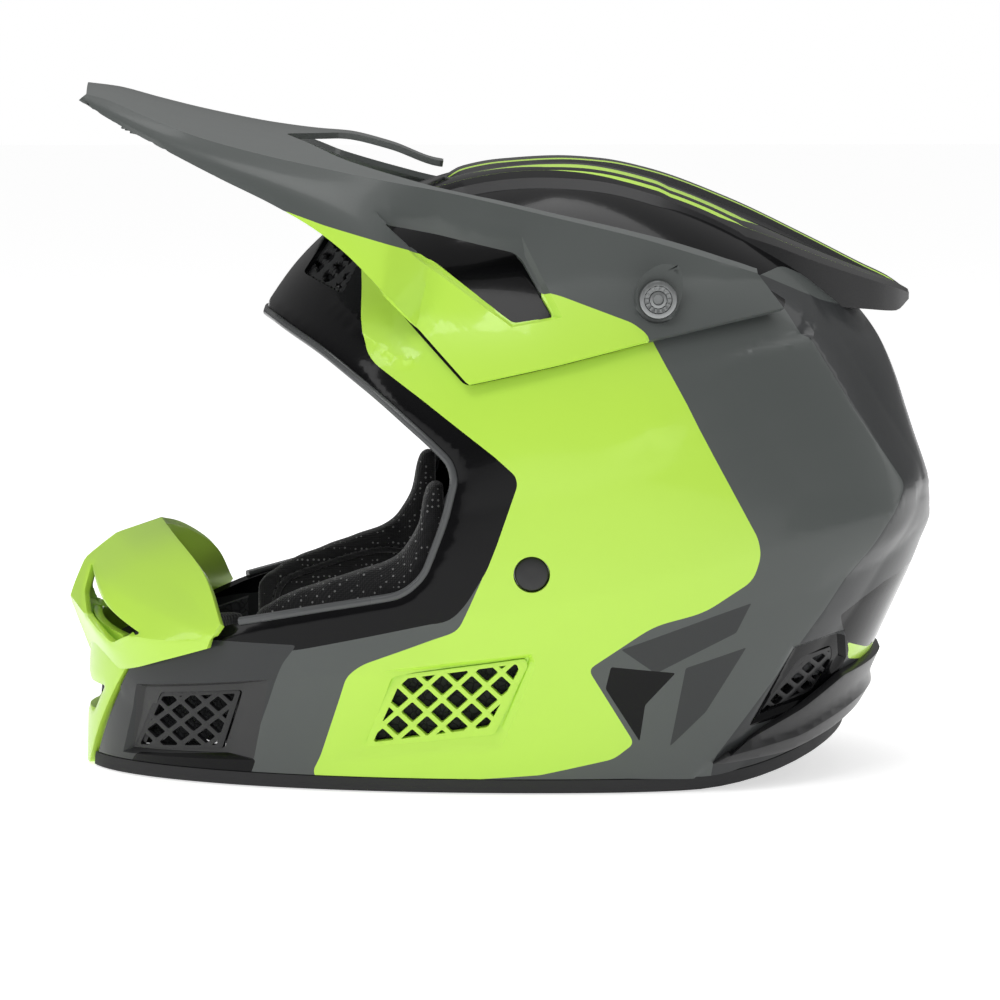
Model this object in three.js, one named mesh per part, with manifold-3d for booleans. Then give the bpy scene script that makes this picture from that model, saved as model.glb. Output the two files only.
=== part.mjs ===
// Motocross helmet with a tilting visor, vent grilles, energy-absorbing liner, removable cheek pads
// and a double D-ring chin strap. Millimetres, +Z up, front towards -X, wearer's left towards -Y.
// The origin is on the floor, under the middle of the helmet.
import * as THREE from 'three';
import { mergeVertices } from 'three/addons/utils/BufferGeometryUtils.js';
import Module from 'manifold-3d';

const wasm = await Module();
wasm.setup();

// ---------------------------------------------------------------- driving dimensions

const CROWN_HEIGHT = 251;
const WIDEST_HEIGHT = 130;
const HALF_WIDTH = 124.5;
const WIDEST_X = 25;            // station where each horizontal section is widest
const FRONT_POWER = 2.0;        // superellipse power of a section in front of that station
const REAR_POWER = 2.35;        // and behind it
const SHELL_WALL = 3;
const JOINT_GAP = 0.4;          // gap between neighbouring pieces
const LINER_GAP = SHELL_WALL + JOINT_GAP;

// centre-plane profile of the shell as [height, x], front and rear, and its half width below the widest
const FRONT_PROFILE = [[-20, -170], [0, -172], [38, -171], [66, -169], [112, -150], [152, -123],
  [190, -98.5], [210, -84], [227, -65], [240, -38], [CROWN_HEIGHT, 22]];
const REAR_PROFILE = [[-20, 122], [0, 136], [40, 151.5], [63, 162], [94, 176], [106, 180.5], [141, 171.5],
  [176, 159], [202, 138], [222, 110], [238, 78], [247, 50], [CROWN_HEIGHT, 22]];
const LOWER_WIDTHS = [[-20, 92], [0, 101], [30, 111], [60, 118], [100, 123.5], [WIDEST_HEIGHT, HALF_WIDTH]];

const HEAD_X = 33.5;            // head cavity: centre, half sizes, and the height where the dome starts
const HEAD_HALF_LENGTH = 98.5;
const HEAD_HALF_WIDTH = 78;
const HEAD_DOME = 102;
const HEAD_DOME_BASE = 120;
const HEADLINER_THICKNESS = 8;

const TRIM_HEIGHT = 6;          // rubber base trim
const TRIM_WIDTH = 5.5;
const BASE_RISE_START = 70;     // behind this x the base edge curves upwards
const BASE_RISE_END = 165;      // and runs level again
const BASE_RISE = 0.00344;

const PIVOT_X = 58.3;           // visor hinge, through the two side screws
const PIVOT_Z = 198.9;
const VISOR_WALL = 2.5;
const WING_CLEARANCE = 1.7;

const ANCHOR_X = 8.3;           // chin strap anchors
const ANCHOR_Z = 90.9;
const HANGER_Y = 82.2;
const HANGER_WALL = 1.6;
const STRAP_WIDTH = 24;
const STRAP_THICKNESS = 1.8;
const RING_WIRE = 1.75;

const PAD_FRONT = -104;
const PAD_REAR = -24;
const PAD_BOTTOM = 22;
const PAD_MARGIN = 8;           // cheek pads stay this far inside the base edge, so that they slide out
const RELEASE_WALL = 2;
const RELEASE_FRONT = -68;
const RELEASE_REAR = -52;
const RELEASE_BOTTOM = 9;
const RELEASE_Y = -76;
const MAGNET_RADIUS = 5;
const MAGNET_WALL = 1.2;

// ---------------------------------------------------------------- materials

function paint(color, roughness = 0.25, metalness = 0) {
  return new THREE.MeshStandardMaterial({ color, roughness, metalness });
}
const GREY_PAINT = paint(0x50565a);
const LIME_PAINT = paint(0xc6e84b);
const BLACK_PAINT = paint(0x101012, 0.15);
const BLACK_PLASTIC = paint(0x18181a, 0.55);
const RUBBER = paint(0x202022, 0.8);
const FOAM = paint(0x2b2c2e, 0.9);
const FABRIC = paint(0x1b1b1d, 0.95);
const WEBBING = paint(0x141416, 0.85);
const RED_TAPE = paint(0xc02020, 0.8);
const STEEL = paint(0xb4b6b8, 0.35, 1);

// ---------------------------------------------------------------- curves and surfaces

// A smooth curve through [t, value] pairs that never overshoots them (monotone cubic).
function through(pairs) {
  const slope = pairs.slice(1).map(([t, v], i) => (v - pairs[i][1]) / (t - pairs[i][0]));
  const tangent = pairs.map((pair, i) => {
    if (i === 0) return slope[0];
    if (i === pairs.length - 1) return slope[i - 1];
    if (slope[i - 1] * slope[i] <= 0) return 0;
    return 2 * slope[i - 1] * slope[i] / (slope[i - 1] + slope[i]);
  });
  return (t) => {
    let i = pairs.findIndex((pair) => pair[0] >= t) - 1;
    if (i < 0) i = t <= pairs[0][0] ? 0 : pairs.length - 2;
    const [t0, v0] = pairs[i];
    const [t1, v1] = pairs[i + 1];
    const h = t1 - t0;
    const u = (t - t0) / h;
    const rise = (v1 - v0);
    return v0 + rise * u * u * (3 - 2 * u)
      + h * (tangent[i] * u * (1 - u) ** 2 - tangent[i + 1] * u * u * (1 - u));
  };
}

const frontX = through(FRONT_PROFILE);
const rearX = through(REAR_PROFILE);
const lowerWidth = through(LOWER_WIDTHS);

function halfWidth(z) {
  if (z < WIDEST_HEIGHT) return lowerWidth(z);
  const rise = (z - WIDEST_HEIGHT) / (CROWN_HEIGHT - WIDEST_HEIGHT);
  const power = 2.3;
  return HALF_WIDTH * Math.max(1 - rise ** power, 0) ** (1 / power);
}

// Half width of the shell's outer surface at a place in the side view.
function sideY(x, z) {
  const front = x < WIDEST_X;
  const reach = front ? WIDEST_X - frontX(z) : rearX(z) - WIDEST_X;
  const power = front ? FRONT_POWER : REAR_POWER;
  const along = Math.min(Math.abs(x - WIDEST_X) / reach, 1);
  return halfWidth(z) * (1 - along ** power) ** (1 / power);
}

// Height of the edge where the shell meets the base trim.
function baseZ(x) {
  return TRIM_HEIGHT + BASE_RISE * Math.max(x - BASE_RISE_START, 0) ** 2;
}

// ---------------------------------------------------------------- solids

function closedGeometry(positions, index) {
  const geometry = new THREE.BufferGeometry();
  geometry.setAttribute('position', new THREE.Float32BufferAttribute(positions, 3));
  geometry.setIndex(index);
  return geometry;
}

// A stack of closed rings, capped at both ends. ring(level) gives its points, anticlockwise from above.
function stack(rings) {
  const count = rings[0].length;
  const positions = rings.flat().flatMap((p) => [p.x, p.y, p.z]);
  const index = [];
  for (let level = 0; level < rings.length - 1; level += 1) {
    for (let i = 0; i < count; i += 1) {
      const a = level * count + i;
      const b = level * count + (i + 1) % count;
      index.push(a, b, b + count, a, b + count, a + count);
    }
  }
  const cap = (first, ring, up) => {
    const centre = ring.reduce((sum, p) => sum.add(p), new THREE.Vector3()).divideScalar(count);
    const middle = positions.length / 3;
    positions.push(centre.x, centre.y, centre.z);
    for (let i = 0; i < count; i += 1) {
      const a = first + i;
      const b = first + (i + 1) % count;
      index.push(middle, up ? a : b, up ? b : a);
    }
  };
  cap(0, rings[0], false);
  cap((rings.length - 1) * count, rings[rings.length - 1], true);
  return closedGeometry(positions, index);
}

// The shell's outer form, moved inwards by inset, as a closed solid.
function form(inset, bottom = -15, around = 40) {
  const power = (angle) => (Math.cos(angle) < 0 ? FRONT_POWER : REAR_POWER);
  const lowerLevels = 6;
  const upperLevels = 9;
  const heights = [];
  for (let i = 0; i < lowerLevels; i += 1) {
    heights.push(bottom + (WIDEST_HEIGHT - bottom) * i / lowerLevels);
  }
  for (let i = 0; i < upperLevels; i += 1) {
    heights.push(WIDEST_HEIGHT + (CROWN_HEIGHT - WIDEST_HEIGHT) * Math.sin(Math.PI / 2 * i / upperLevels));
  }
  const squash = (CROWN_HEIGHT - WIDEST_HEIGHT - inset) / (CROWN_HEIGHT - WIDEST_HEIGHT);
  return stack(heights.map((z) => {
    const level = z < WIDEST_HEIGHT ? z : WIDEST_HEIGHT + (z - WIDEST_HEIGHT) * squash;
    return Array.from({ length: around }, (unused, i) => {
      const angle = 2 * Math.PI * i / around;
      const c = Math.cos(angle);
      const s = Math.sin(angle);
      const reach = c < 0 ? WIDEST_X - frontX(z) - inset : rearX(z) - WIDEST_X - inset;
      const x = WIDEST_X + reach * Math.sign(c) * Math.abs(c) ** (2 / power(angle));
      const y = (halfWidth(z) - inset) * Math.sign(s) * Math.abs(s) ** (2 / power(angle));
      return new THREE.Vector3(x, y, level);
    });
  }));
}

// The head cavity grown by a margin: an upright elliptic cylinder under half an ellipsoid.
function headForm(margin, bottom = -15, around = 28) {
  const domeLevels = 7;
  const rings = [[1, bottom]];
  for (let i = 0; i < domeLevels; i += 1) {
    const angle = Math.PI / 2 * i / domeLevels;
    rings.push([Math.cos(angle), HEAD_DOME_BASE + (HEAD_DOME + margin) * Math.sin(angle)]);
  }
  return stack(rings.map(([scale, z]) => Array.from({ length: around }, (unused, i) => {
    const angle = 2 * Math.PI * i / around;
    return new THREE.Vector3(
      HEAD_X + (HEAD_HALF_LENGTH + margin) * scale * Math.cos(angle),
      (HEAD_HALF_WIDTH + margin) * scale * Math.sin(angle),
      z,
    );
  })));
}

function outline(points, holes = []) {
  const shape = new THREE.Shape(points.map(([a, b]) => new THREE.Vector2(a, b)));
  shape.holes = holes.map((hole) => new THREE.Path(hole.map(([a, b]) => new THREE.Vector2(a, b))));
  return shape;
}

const SIDE_VIEW = new THREE.Matrix4().makeRotationX(Math.PI / 2);
const FRONT_VIEW = new THREE.Matrix4().makeBasis(
  new THREE.Vector3(0, 1, 0), new THREE.Vector3(0, 0, 1), new THREE.Vector3(1, 0, 0));

// An outline drawn in the side view (x, z), between two places across the helmet.
function sidePrism(points, fromY, toY, holes) {
  const geometry = new THREE.ExtrudeGeometry(outline(points, holes), {
    depth: toY - fromY, bevelEnabled: false });
  return geometry.applyMatrix4(SIDE_VIEW).translate(0, toY, 0);
}

// An outline drawn in the front view (y, z), between two places along the helmet.
function frontPrism(points, fromX, toX, holes) {
  const geometry = new THREE.ExtrudeGeometry(outline(points, holes), {
    depth: toX - fromX, bevelEnabled: false });
  return geometry.applyMatrix4(FRONT_VIEW).translate(fromX, 0, 0);
}

// An outline drawn in plan (x, y), between two heights.
function planPrism(points, fromZ, toZ, holes) {
  const geometry = new THREE.ExtrudeGeometry(outline(points, holes), {
    depth: toZ - fromZ, bevelEnabled: false });
  return geometry.translate(0, 0, fromZ);
}

// A round bar across the helmet.
function crossBar(x, z, radius, fromY, toY, sides = 20) {
  const geometry = new THREE.CylinderGeometry(radius, radius, toY - fromY, sides);
  return geometry.translate(x, (fromY + toY) / 2, z);
}

function welded(geometry) {
  const bare = geometry.clone();
  bare.deleteAttribute('normal');
  bare.deleteAttribute('uv');
  return mergeVertices(bare, 1e-4);
}

function solid(geometry) {
  const merged = welded(geometry);
  return new wasm.Manifold(new wasm.Mesh({
    numProp: 3,
    vertProperties: new Float32Array(merged.attributes.position.array),
    triVerts: new Uint32Array(merged.index.array),
  }));
}

function cut(body, ...tools) {
  return tools.reduce((left, tool) => left.subtract(tool), body);
}

function common(body, ...tools) {
  return tools.reduce((left, tool) => left.intersect(tool), body);
}

function joined(body, ...others) {
  return others.reduce((left, other) => left.add(other), body);
}

function geometryOf(body) {
  const { vertProperties, triVerts } = body.getMesh();
  return closedGeometry(Array.from(vertProperties), Array.from(triVerts));
}

// The same geometry on the other side of the helmet.
function flipped(geometry) {
  const other = welded(geometry);
  other.scale(1, -1, 1);
  const index = other.index.array;
  for (let i = 0; i < index.length; i += 3) {
    [index[i], index[i + 1]] = [index[i + 1], index[i]];
  }
  return other;
}

// A sheet through rows of points, given a thickness on its back.
function thickSheet(rows, thickness) {
  const down = rows.length;
  const across = rows[0].length;
  const at = (i, j) => rows[Math.min(Math.max(i, 0), down - 1)][Math.min(Math.max(j, 0), across - 1)];
  const outer = rows.flat();
  const inner = rows.flatMap((row, i) => row.map((point, j) => {
    const along = at(i + 1, j).clone().sub(at(i - 1, j));
    const side = at(i, j + 1).clone().sub(at(i, j - 1));
    return point.clone().addScaledVector(along.cross(side).normalize(), -thickness);
  }));
  const total = outer.length;
  const index = [];
  const quad = (a, b, c, d) => index.push(a, b, c, a, c, d);
  for (let i = 0; i < down - 1; i += 1) {
    for (let j = 0; j < across - 1; j += 1) {
      const a = i * across + j;
      quad(a, a + across, a + across + 1, a + 1);
      quad(a + total, a + 1 + total, a + across + 1 + total, a + across + total);
    }
  }
  const border = [];
  for (let j = 0; j < across - 1; j += 1) border.push(j);
  for (let i = 0; i < down - 1; i += 1) border.push(i * across + across - 1);
  for (let j = across - 1; j > 0; j -= 1) border.push((down - 1) * across + j);
  for (let i = down - 1; i > 0; i -= 1) border.push(i * across);
  border.forEach((a, i) => {
    const b = border[(i + 1) % border.length];
    quad(a, b, b + total, a + total);
  });
  return closedGeometry([...outer, ...inner].flatMap((p) => [p.x, p.y, p.z]), index);
}

// A round wire along a closed path of points.
function wireLoop(path, radius, sides = 8) {
  const count = path.length;
  const rings = path.map((point, i) => {
    const ahead = path[(i + 1) % count].clone().sub(path[(i + count - 1) % count]).normalize();
    return { point, ahead };
  });
  const plane = new THREE.Vector3();
  path.forEach((point, i) => plane.add(point.clone().cross(path[(i + 1) % count])));
  plane.normalize();
  const positions = rings.flatMap(({ point, ahead }) => {
    const out = ahead.clone().cross(plane).normalize();
    const up = out.clone().cross(ahead).normalize();
    return Array.from({ length: sides }, (unused, k) => {
      const angle = 2 * Math.PI * k / sides;
      const p = point.clone().addScaledVector(out, radius * Math.cos(angle))
        .addScaledVector(up, radius * Math.sin(angle));
      return [p.x, p.y, p.z];
    }).flat();
  });
  const index = [];
  for (let i = 0; i < count; i += 1) {
    for (let k = 0; k < sides; k += 1) {
      const a = i * sides + k;
      const b = i * sides + (k + 1) % sides;
      const c = ((i + 1) % count) * sides + (k + 1) % sides;
      const d = ((i + 1) % count) * sides + k;
      index.push(a, c, b, a, d, c);
    }
  }
  return closedGeometry(positions, index);
}

function point(x, y, z) {
  return new THREE.Vector3(x, y, z);
}

// ---------------------------------------------------------------- the assembly

const helmet = new THREE.Group();

function add(name, shape, material) {
  const geometry = shape.getMesh ? geometryOf(shape) : welded(shape);
  const mesh = new THREE.Mesh(geometry, material);
  mesh.name = name;
  helmet.add(mesh);
}

// Adds a piece that lies on the left (-Y) side and its mirror image on the right.
function addPair(name, shape, material) {
  const geometry = shape.getMesh ? geometryOf(shape) : welded(shape);
  add(`${name}_left`, geometry, material);
  add(`${name}_right`, flipped(geometry), material);
}

const FAR = 260;                // further out than any part of the helmet

// ---------------------------------------------------------------- openings in the shell, side view

const EYEPORT = [[-FAR, 192], [-98.2, 190.3], [-74.3, 176.9], [-52.1, 160.2], [-31.3, 142.1], [-23.9, 134.8],
  [-21.9, 128], [-25.9, 111], [-34.2, 88.9], [-42.8, 81.4], [-75.4, 75.1], [-107.6, 68.2], [-130, 60],
  [-FAR, 58]];
const SIDE_VENT = [[-46.8, 48.4], [5.9, 56.2], [7, 53.5], [-6, 24.8], [-57.8, 18.5]];
const FRONT_VENT = [[-142, 35.8], [-107.6, 39.6], [-115.7, 14.1], [-152.1, 11.1]];
const REAR_VENT = [[117.5, 52.7], [133, 56], [134, 50], [125.5, 37], [101.1, 30.7]];
const BROW_VENT = [[-82, 206], [-66, 199], [-58, 214], [-72, 221]];
const MOUTHPIECE_FRONT = [[-13, -5], [13, -5], [48.5, 46], [48.5, 75], [-48.5, 75], [-48.5, 46]];

// Moves every corner of a convex outline towards its middle, to leave a gap all round.
function shrunk(points, gap) {
  const middle = points.reduce((sum, [a, b]) => [sum[0] + a / points.length, sum[1] + b / points.length],
    [0, 0]);
  return points.map(([a, b]) => {
    const reach = Math.hypot(a - middle[0], b - middle[1]);
    const scale = (reach - 1.5 * gap) / reach;
    return [middle[0] + (a - middle[0]) * scale, middle[1] + (b - middle[1]) * scale];
  });
}

// Side-view band along the base edge, between two heights measured from that edge.
function baseBand(low, high) {
  const stations = [-FAR, BASE_RISE_START, 90, 110, 130, 150, BASE_RISE_END];
  const top = stations.map((x) => [x, baseZ(x) + high]);
  const bottom = stations.map((x) => [x, Math.max(baseZ(x) + low, low < -50 ? low : 0)]);
  const end = (line) => [FAR, line[line.length - 1][1]];
  return [...bottom, end(bottom), end(top), ...top.reverse()];
}

const ventCutters = [SIDE_VENT, FRONT_VENT, REAR_VENT].map((points) => solid(sidePrism(points, -FAR, FAR)));
const browCutters = [-1, 1].map((side) => solid(
  sidePrism(BROW_VENT, side < 0 ? -82 : 50, side < 0 ? -50 : 82)));
const eyeportCutter = solid(sidePrism(EYEPORT, -FAR, FAR));
const mouthCutter = solid(frontPrism(MOUTHPIECE_FRONT, -FAR, -120));
const anchorCutter = solid(crossBar(ANCHOR_X, ANCHOR_Z, 7.2, -FAR, FAR));
const screwCutter = solid(crossBar(PIVOT_X, PIVOT_Z, 4, -FAR, FAR));
const aboveBase = solid(sidePrism(baseBand(0, 400), -FAR, FAR));

// ---------------------------------------------------------------- shell and what closes its openings

const outerForm = solid(form(0));
const shellWall = cut(outerForm, solid(form(SHELL_WALL, -16)));
const shellBand = common(shellWall, aboveBase);
const shell = cut(shellBand, eyeportCutter, ...ventCutters, ...browCutters, mouthCutter, anchorCutter,
  screwCutter);
add('outer_shell', shell, GREY_PAINT);

// A patch of the shell's wall that fills a side-view outline on the left side.
function patch(points, depth, thickness) {
  const wall = cut(solid(form(depth)), solid(form(depth + thickness, -16)));
  return common(wall, solid(sidePrism(shrunk(points, JOINT_GAP), -FAR, -40)));
}
addPair('side_grille', patch(SIDE_VENT, 0.6, 2), LIME_PAINT);
addPair('front_grille', patch(FRONT_VENT, 0.6, 2), BLACK_PLASTIC);
addPair('rear_grille', patch(REAR_VENT, 0.6, 2), BLACK_PLASTIC);
addPair('brow_grille', common(
  cut(solid(form(0.6)), solid(form(2.6, -16))),
  solid(sidePrism(shrunk(BROW_VENT, JOINT_GAP), -81.5, -50.5))), BLACK_PLASTIC);

const trimWall = cut(outerForm, solid(form(TRIM_WIDTH, -16)));
const trimBand = solid(sidePrism(baseBand(-TRIM_HEIGHT, -JOINT_GAP), -FAR, FAR));
add('base_trim', cut(common(trimWall, trimBand), mouthCutter), RUBBER);

// Rubber bead round the eyeport, from one side of the nose guard over the brow to the other.
const BEAD_RADIUS = 2;
const BEAD_PATH = [[-108, 70.9], [-75.9, 77.8], [-44.5, 83.9], [-36.7, 90.4], [-28.7, 111.9], [-24.8, 128],
  [-26.4, 133.4], [-33.5, 139.8], [-54, 157.7], [-76.2, 174.2], [-90, 181.6]];
function beadPoints() {
  const near = BEAD_PATH.map(([x, z]) => point(x, -(sideY(x, z) - SHELL_WALL / 2), z));
  const brow = point(frontX(187) + SHELL_WALL / 2, 0, 187);
  const halfway = point(-99, -18, 186.2);
  const far = near.map((p) => point(p.x, -p.y, p.z)).reverse();
  return [...near, halfway, brow, point(halfway.x, -halfway.y, halfway.z), ...far];
}
const beadSection = new THREE.Shape(Array.from({ length: 6 }, (unused, k) => new THREE.Vector2(
  BEAD_RADIUS * Math.cos(Math.PI * k / 3), BEAD_RADIUS * Math.sin(Math.PI * k / 3))));
const bead = new THREE.ExtrudeGeometry(beadSection, {
  steps: 44, bevelEnabled: false, extrudePath: new THREE.CatmullRomCurve3(beadPoints()) });
const lowerFront = solid(sidePrism([[-88, 60], [-88, 76.4], [-112, 76], [-112, 60]], -FAR, FAR));
const aheadOfRim = solid(sidePrism([[-90, 60], [-90, 90], [-FAR, 90], [-FAR, 60]], -FAR, FAR));
const shellAtRim = cut(shell, aheadOfRim);
add('eyeport_trim', cut(solid(bead), lowerFront, shellAtRim), RUBBER);

// Mouthpiece: the painted front of the chin bar, with the intake grille behind it.
const GUARD_BOTTOM = [[0, 41.5], [46, 46], [72, 57.5], [90, 69]];
const guardLine = [...GUARD_BOTTOM.slice(1).reverse().map(([y, z]) => [-y, z]), ...GUARD_BOTTOM];
const belowGuard = frontPrism([...guardLine.map(([y, z]) => [y, z - 3.4]), [90, -5], [-90, -5]], -FAR, -120);
const mouthWall = cut(solid(form(-1.5)), solid(form(SHELL_WALL, -16)));
const INTAKE = [[-20, 24], [20, 24], [31, 35], [-31, 35]];
const aboveFloor = solid(sidePrism([[-FAR, 0], [FAR, 0], [FAR, 300], [-FAR, 300]], -FAR, FAR));
const mouthShape = [[-12.6, -5], [12.6, -5], [48, 45.7], [48, 75], [-48, 75], [-48, 45.7]];
const mouthpiece = cut(common(mouthWall, solid(frontPrism(mouthShape, -FAR, -120)), solid(belowGuard),
  aboveFloor), solid(frontPrism(INTAKE, -FAR, -120)));
add('mouthpiece', mouthpiece, LIME_PAINT);
add('mouth_grille', common(cut(solid(form(3.6)), solid(form(5.4, -16))),
  solid(frontPrism([[-25, 21], [25, 21], [36, 38], [-36, 38]], -FAR, -120))), BLACK_PLASTIC);

// Nose guard: a wrapped plate over the chin bar with an air opening on each side.
const GUARD_ROWS = [
  [[-170.5, 0, 42], [-157, 46, 46.5], [-138, 72, 57.5], [-121, 85, 67]],
  [[-180.5, 0, 68.5], [-167, 42, 63], [-144, 71, 65.5], [-122, 87, 69]],
  [[-174, 0, 85], [-164, 36, 78], [-139, 68, 73], [-120, 88, 71]],
  [[-160.6, 0, 95.7], [-150, 32, 88], [-129, 66, 80], [-117.5, 88, 73]],
  [[-142, 0, 102], [-136, 30, 94.5], [-122, 65, 84], [-115, 87, 75]],
];
function guardRow(row) {
  const half = row.map(([x, y, z]) => point(x, y, z));
  const other = half.slice(1).reverse().map((p) => point(p.x, -p.y, p.z));
  return [...other, ...half];
}
const GUARD_HOLE = [[15, 84], [45, 59], [64, 63]];
const guardHoles = [1, -1].map((side) => solid(frontPrism(
  side > 0 ? GUARD_HOLE : GUARD_HOLE.map(([y, z]) => [-y, z]).reverse(), -FAR, -130)));
const guardKeepOut = cut(solid(form(-0.5)), solid(sidePrism([[-FAR, 61.5], [-104, 69.5], [-104, 300],
  [-FAR, 300]], -FAR, FAR)));
const noseGuard = cut(solid(thickSheet(GUARD_ROWS.map(guardRow), 2.6)), ...guardHoles, guardKeepOut);
add('nose_guard', noseGuard, LIME_PAINT);

// ---------------------------------------------------------------- spoiler and rear deflector

const clearOfShell = solid(form(-JOINT_GAP));
// sections of the spoiler: station, half width, top at the middle, top at the sides, bottom
const SPOILER_SECTIONS = [[62, 50, 246.5, 240, 225], [95, 58, 236, 226, 205], [127, 56, 221, 211, 190],
  [151, 51, 208.5, 204, 190], [162, 46, 203, 200.5, 189.5], [169, 40, 198.5, 197.5, 193.5]];
const spoilerRings = SPOILER_SECTIONS.map(([x, half, middle, sides, bottom]) => {
  const top = [1, 0.6, 0.25, -0.25, -0.6, -1].map((share) => point(
    x, share * half, middle - (middle - sides) * share * share));
  return [...top, point(x, -half * 0.95, bottom), point(x, half * 0.95, bottom)];
});
add('rear_spoiler', cut(solid(stack(spoilerRings)), clearOfShell), BLACK_PAINT);

const DEFLECTOR_SIDE = [[82, 11.6], [114, 14.4], [133, 21], [150, 29.5], [FAR, 62], [FAR, 76], [150, 46.5],
  [138, 43.5], [120, 32], [100, 22.5]];
const DEFLECTOR_PROUD = 5.5;
const deflector = common(cut(solid(form(-DEFLECTOR_PROUD)), clearOfShell),
  solid(sidePrism(DEFLECTOR_SIDE, -FAR, FAR)));
add('rear_deflector', deflector, BLACK_PAINT);

// ---------------------------------------------------------------- liner

const LINER_EDGE = 44;          // bottom of the crown liner behind the ears
const LINER_SPLIT = 115;        // side liner below, crown liner above
const EAR_X = 62;
const CROWN_LINER_SIDE = [[-130, 270], [-97, 199], [-70, 184], [-47, 167], [-20, 143], [-15, 132],
  [-15, LINER_SPLIT + JOINT_GAP], [EAR_X, LINER_SPLIT + JOINT_GAP], [EAR_X, LINER_EDGE], [200, LINER_EDGE],
  [200, 270]];
const linerOuter = solid(form(LINER_GAP));
const boltCutter = solid(crossBar(PIVOT_X, PIVOT_Z, 6, -FAR, FAR));
const crownLiner = cut(common(linerOuter, solid(sidePrism(CROWN_LINER_SIDE, -FAR, FAR))),
  solid(headForm(HEADLINER_THICKNESS + JOINT_GAP)), boltCutter);
add('eps_crown', crownLiner, FOAM);

function padOuterY(x) {
  return sideY(x, 0) - PAD_MARGIN;
}
const PAD_STATIONS = [PAD_FRONT, -90, -75, -60, -42, PAD_REAR];
const sideInner = [...PAD_STATIONS.map((x) => [x, -(padOuterY(x) + 1)]), [-10, -91], [20, -90],
  [EAR_X + 1, -88]];
const sideLinerPlan = [...sideInner, [EAR_X + 1, -FAR], [PAD_FRONT, -FAR]];
const SIDE_LINER_SIDE = [[-100, 14], [-100, 60], [-75, 68], [-40, 75], [-30, 84], [-20, 100], [-15, 109],
  [-15, LINER_SPLIT], [EAR_X - JOINT_GAP, LINER_SPLIT], [EAR_X - JOINT_GAP, 12], [-90, 12]];
const insideShell = solid(form(5.4));
const anchorRoom = solid(crossBar(ANCHOR_X, ANCHOR_Z, 8, -FAR, -100));
const boltRoom = solid(crossBar(ANCHOR_X, ANCHOR_Z, 4.3, -FAR, 0));
const sideLiner = cut(common(insideShell, solid(planPrism(sideLinerPlan, -10, 200)),
  solid(sidePrism(SIDE_LINER_SIDE, -FAR, 0))), anchorRoom, boltRoom);
addPair('eps_side', sideLiner, FOAM);

const CHIN_INNER = [[-141, 0], [-138, 34], [-122, 60], [-108, 68], [-80, 70]];
const chinHollow = [...CHIN_INNER, ...CHIN_INNER.slice(1).reverse().map(([x, y]) => [x, -y])];
const CHIN_LINER_SIDE = [[-FAR, 12], [PAD_FRONT - 3, 12], [PAD_FRONT - 3, 60], [-130, 54], [-FAR, 52]];
const chinLiner = cut(common(solid(form(9.5)), solid(sidePrism(CHIN_LINER_SIDE, -FAR, FAR))),
  solid(planPrism(chinHollow.reverse(), -10, 200)));
add('eps_chin', chinLiner, FOAM);

// Chin pad: a soft strip lining the inside of the chin foam.
function widened(points, by) {
  return points.map(([x, y]) => [x + by, y - Math.sign(y) * by * 0.6]);
}
const CHIN_PAD_OUTER = [[-140.4, 0], [-137.2, 33], [-121.4, 58.6], [-113, 63.4]];
const padOuter = [...CHIN_PAD_OUTER.slice(1).reverse().map(([x, y]) => [x, -y]), ...CHIN_PAD_OUTER];
const padInner = widened(padOuter, 7).reverse();
add('chin_pad', planPrism([...padOuter, ...padInner].reverse(), 24, 56), FABRIC);

const HEADLINER_SIDE = [[-90, 250], [-80, 186], [-48, 160], [-22, 141], [-17, 118], [EAR_X + 2, 118],
  [EAR_X + 4, 62], [160, 62], [160, 250]];
add('headliner', common(cut(solid(headForm(HEADLINER_THICKNESS)), solid(headForm(0, -16))),
  solid(sidePrism(HEADLINER_SIDE, -FAR, FAR))), FABRIC);

const neckRing = common(solid(form(9)), solid(planPrism(
  [[EAR_X + 3, -FAR], [FAR, -FAR], [FAR, FAR], [EAR_X + 3, FAR]], 29, LINER_EDGE - JOINT_GAP)));
add('neck_roll', cut(neckRing, solid(headForm(-5))), FABRIC);

// ---------------------------------------------------------------- cheek pads, on the left and right

const PAD_SIDE = [[PAD_FRONT, PAD_BOTTOM], [PAD_REAR, PAD_BOTTOM], [PAD_REAR, 126], [-29, 126], [-34, 114],
  [-39, 102], [-46, 93], [-66, 87], [-92, 78], [PAD_FRONT, 70]];
const PAD_INNER = [[PAD_REAR, -66], [-60, -62], [-90, -57], [PAD_FRONT, -53]];
const PLATE_WALL = 2.2;
const padPlan = [...PAD_STATIONS.map((x) => [x, -(padOuterY(x) - PLATE_WALL - JOINT_GAP)]), ...PAD_INNER];
addPair('cheek_pad', common(solid(planPrism(padPlan, 0, 200)), solid(sidePrism(PAD_SIDE, -FAR, 0))), FABRIC);

const PLATE_SIDE = [[-98, 27], [-30, 27], [-30, 72], [-98, 62]];
const MAGNET_X = -55;
const MAGNET_Z = 46;
const platePlan = [...PAD_STATIONS.map((x) => [x, -padOuterY(x)]),
  ...PAD_STATIONS.map((x) => [x, -(padOuterY(x) - PLATE_WALL)]).reverse()];
const plate = common(solid(planPrism(platePlan, 0, 200)), solid(sidePrism(PLATE_SIDE, -FAR, 0)));
addPair('cheek_base', cut(plate, solid(crossBar(MAGNET_X, MAGNET_Z, MAGNET_RADIUS + JOINT_GAP, -FAR, 0))), BLACK_PLASTIC);
const magnetY = -padOuterY(MAGNET_X) + 0.9;
addPair('cheek_magnet', crossBar(MAGNET_X, MAGNET_Z, MAGNET_RADIUS,
  magnetY - MAGNET_WALL / 2, magnetY + MAGNET_WALL / 2, 16), STEEL);
const releaseTop = PAD_BOTTOM - JOINT_GAP;
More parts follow.
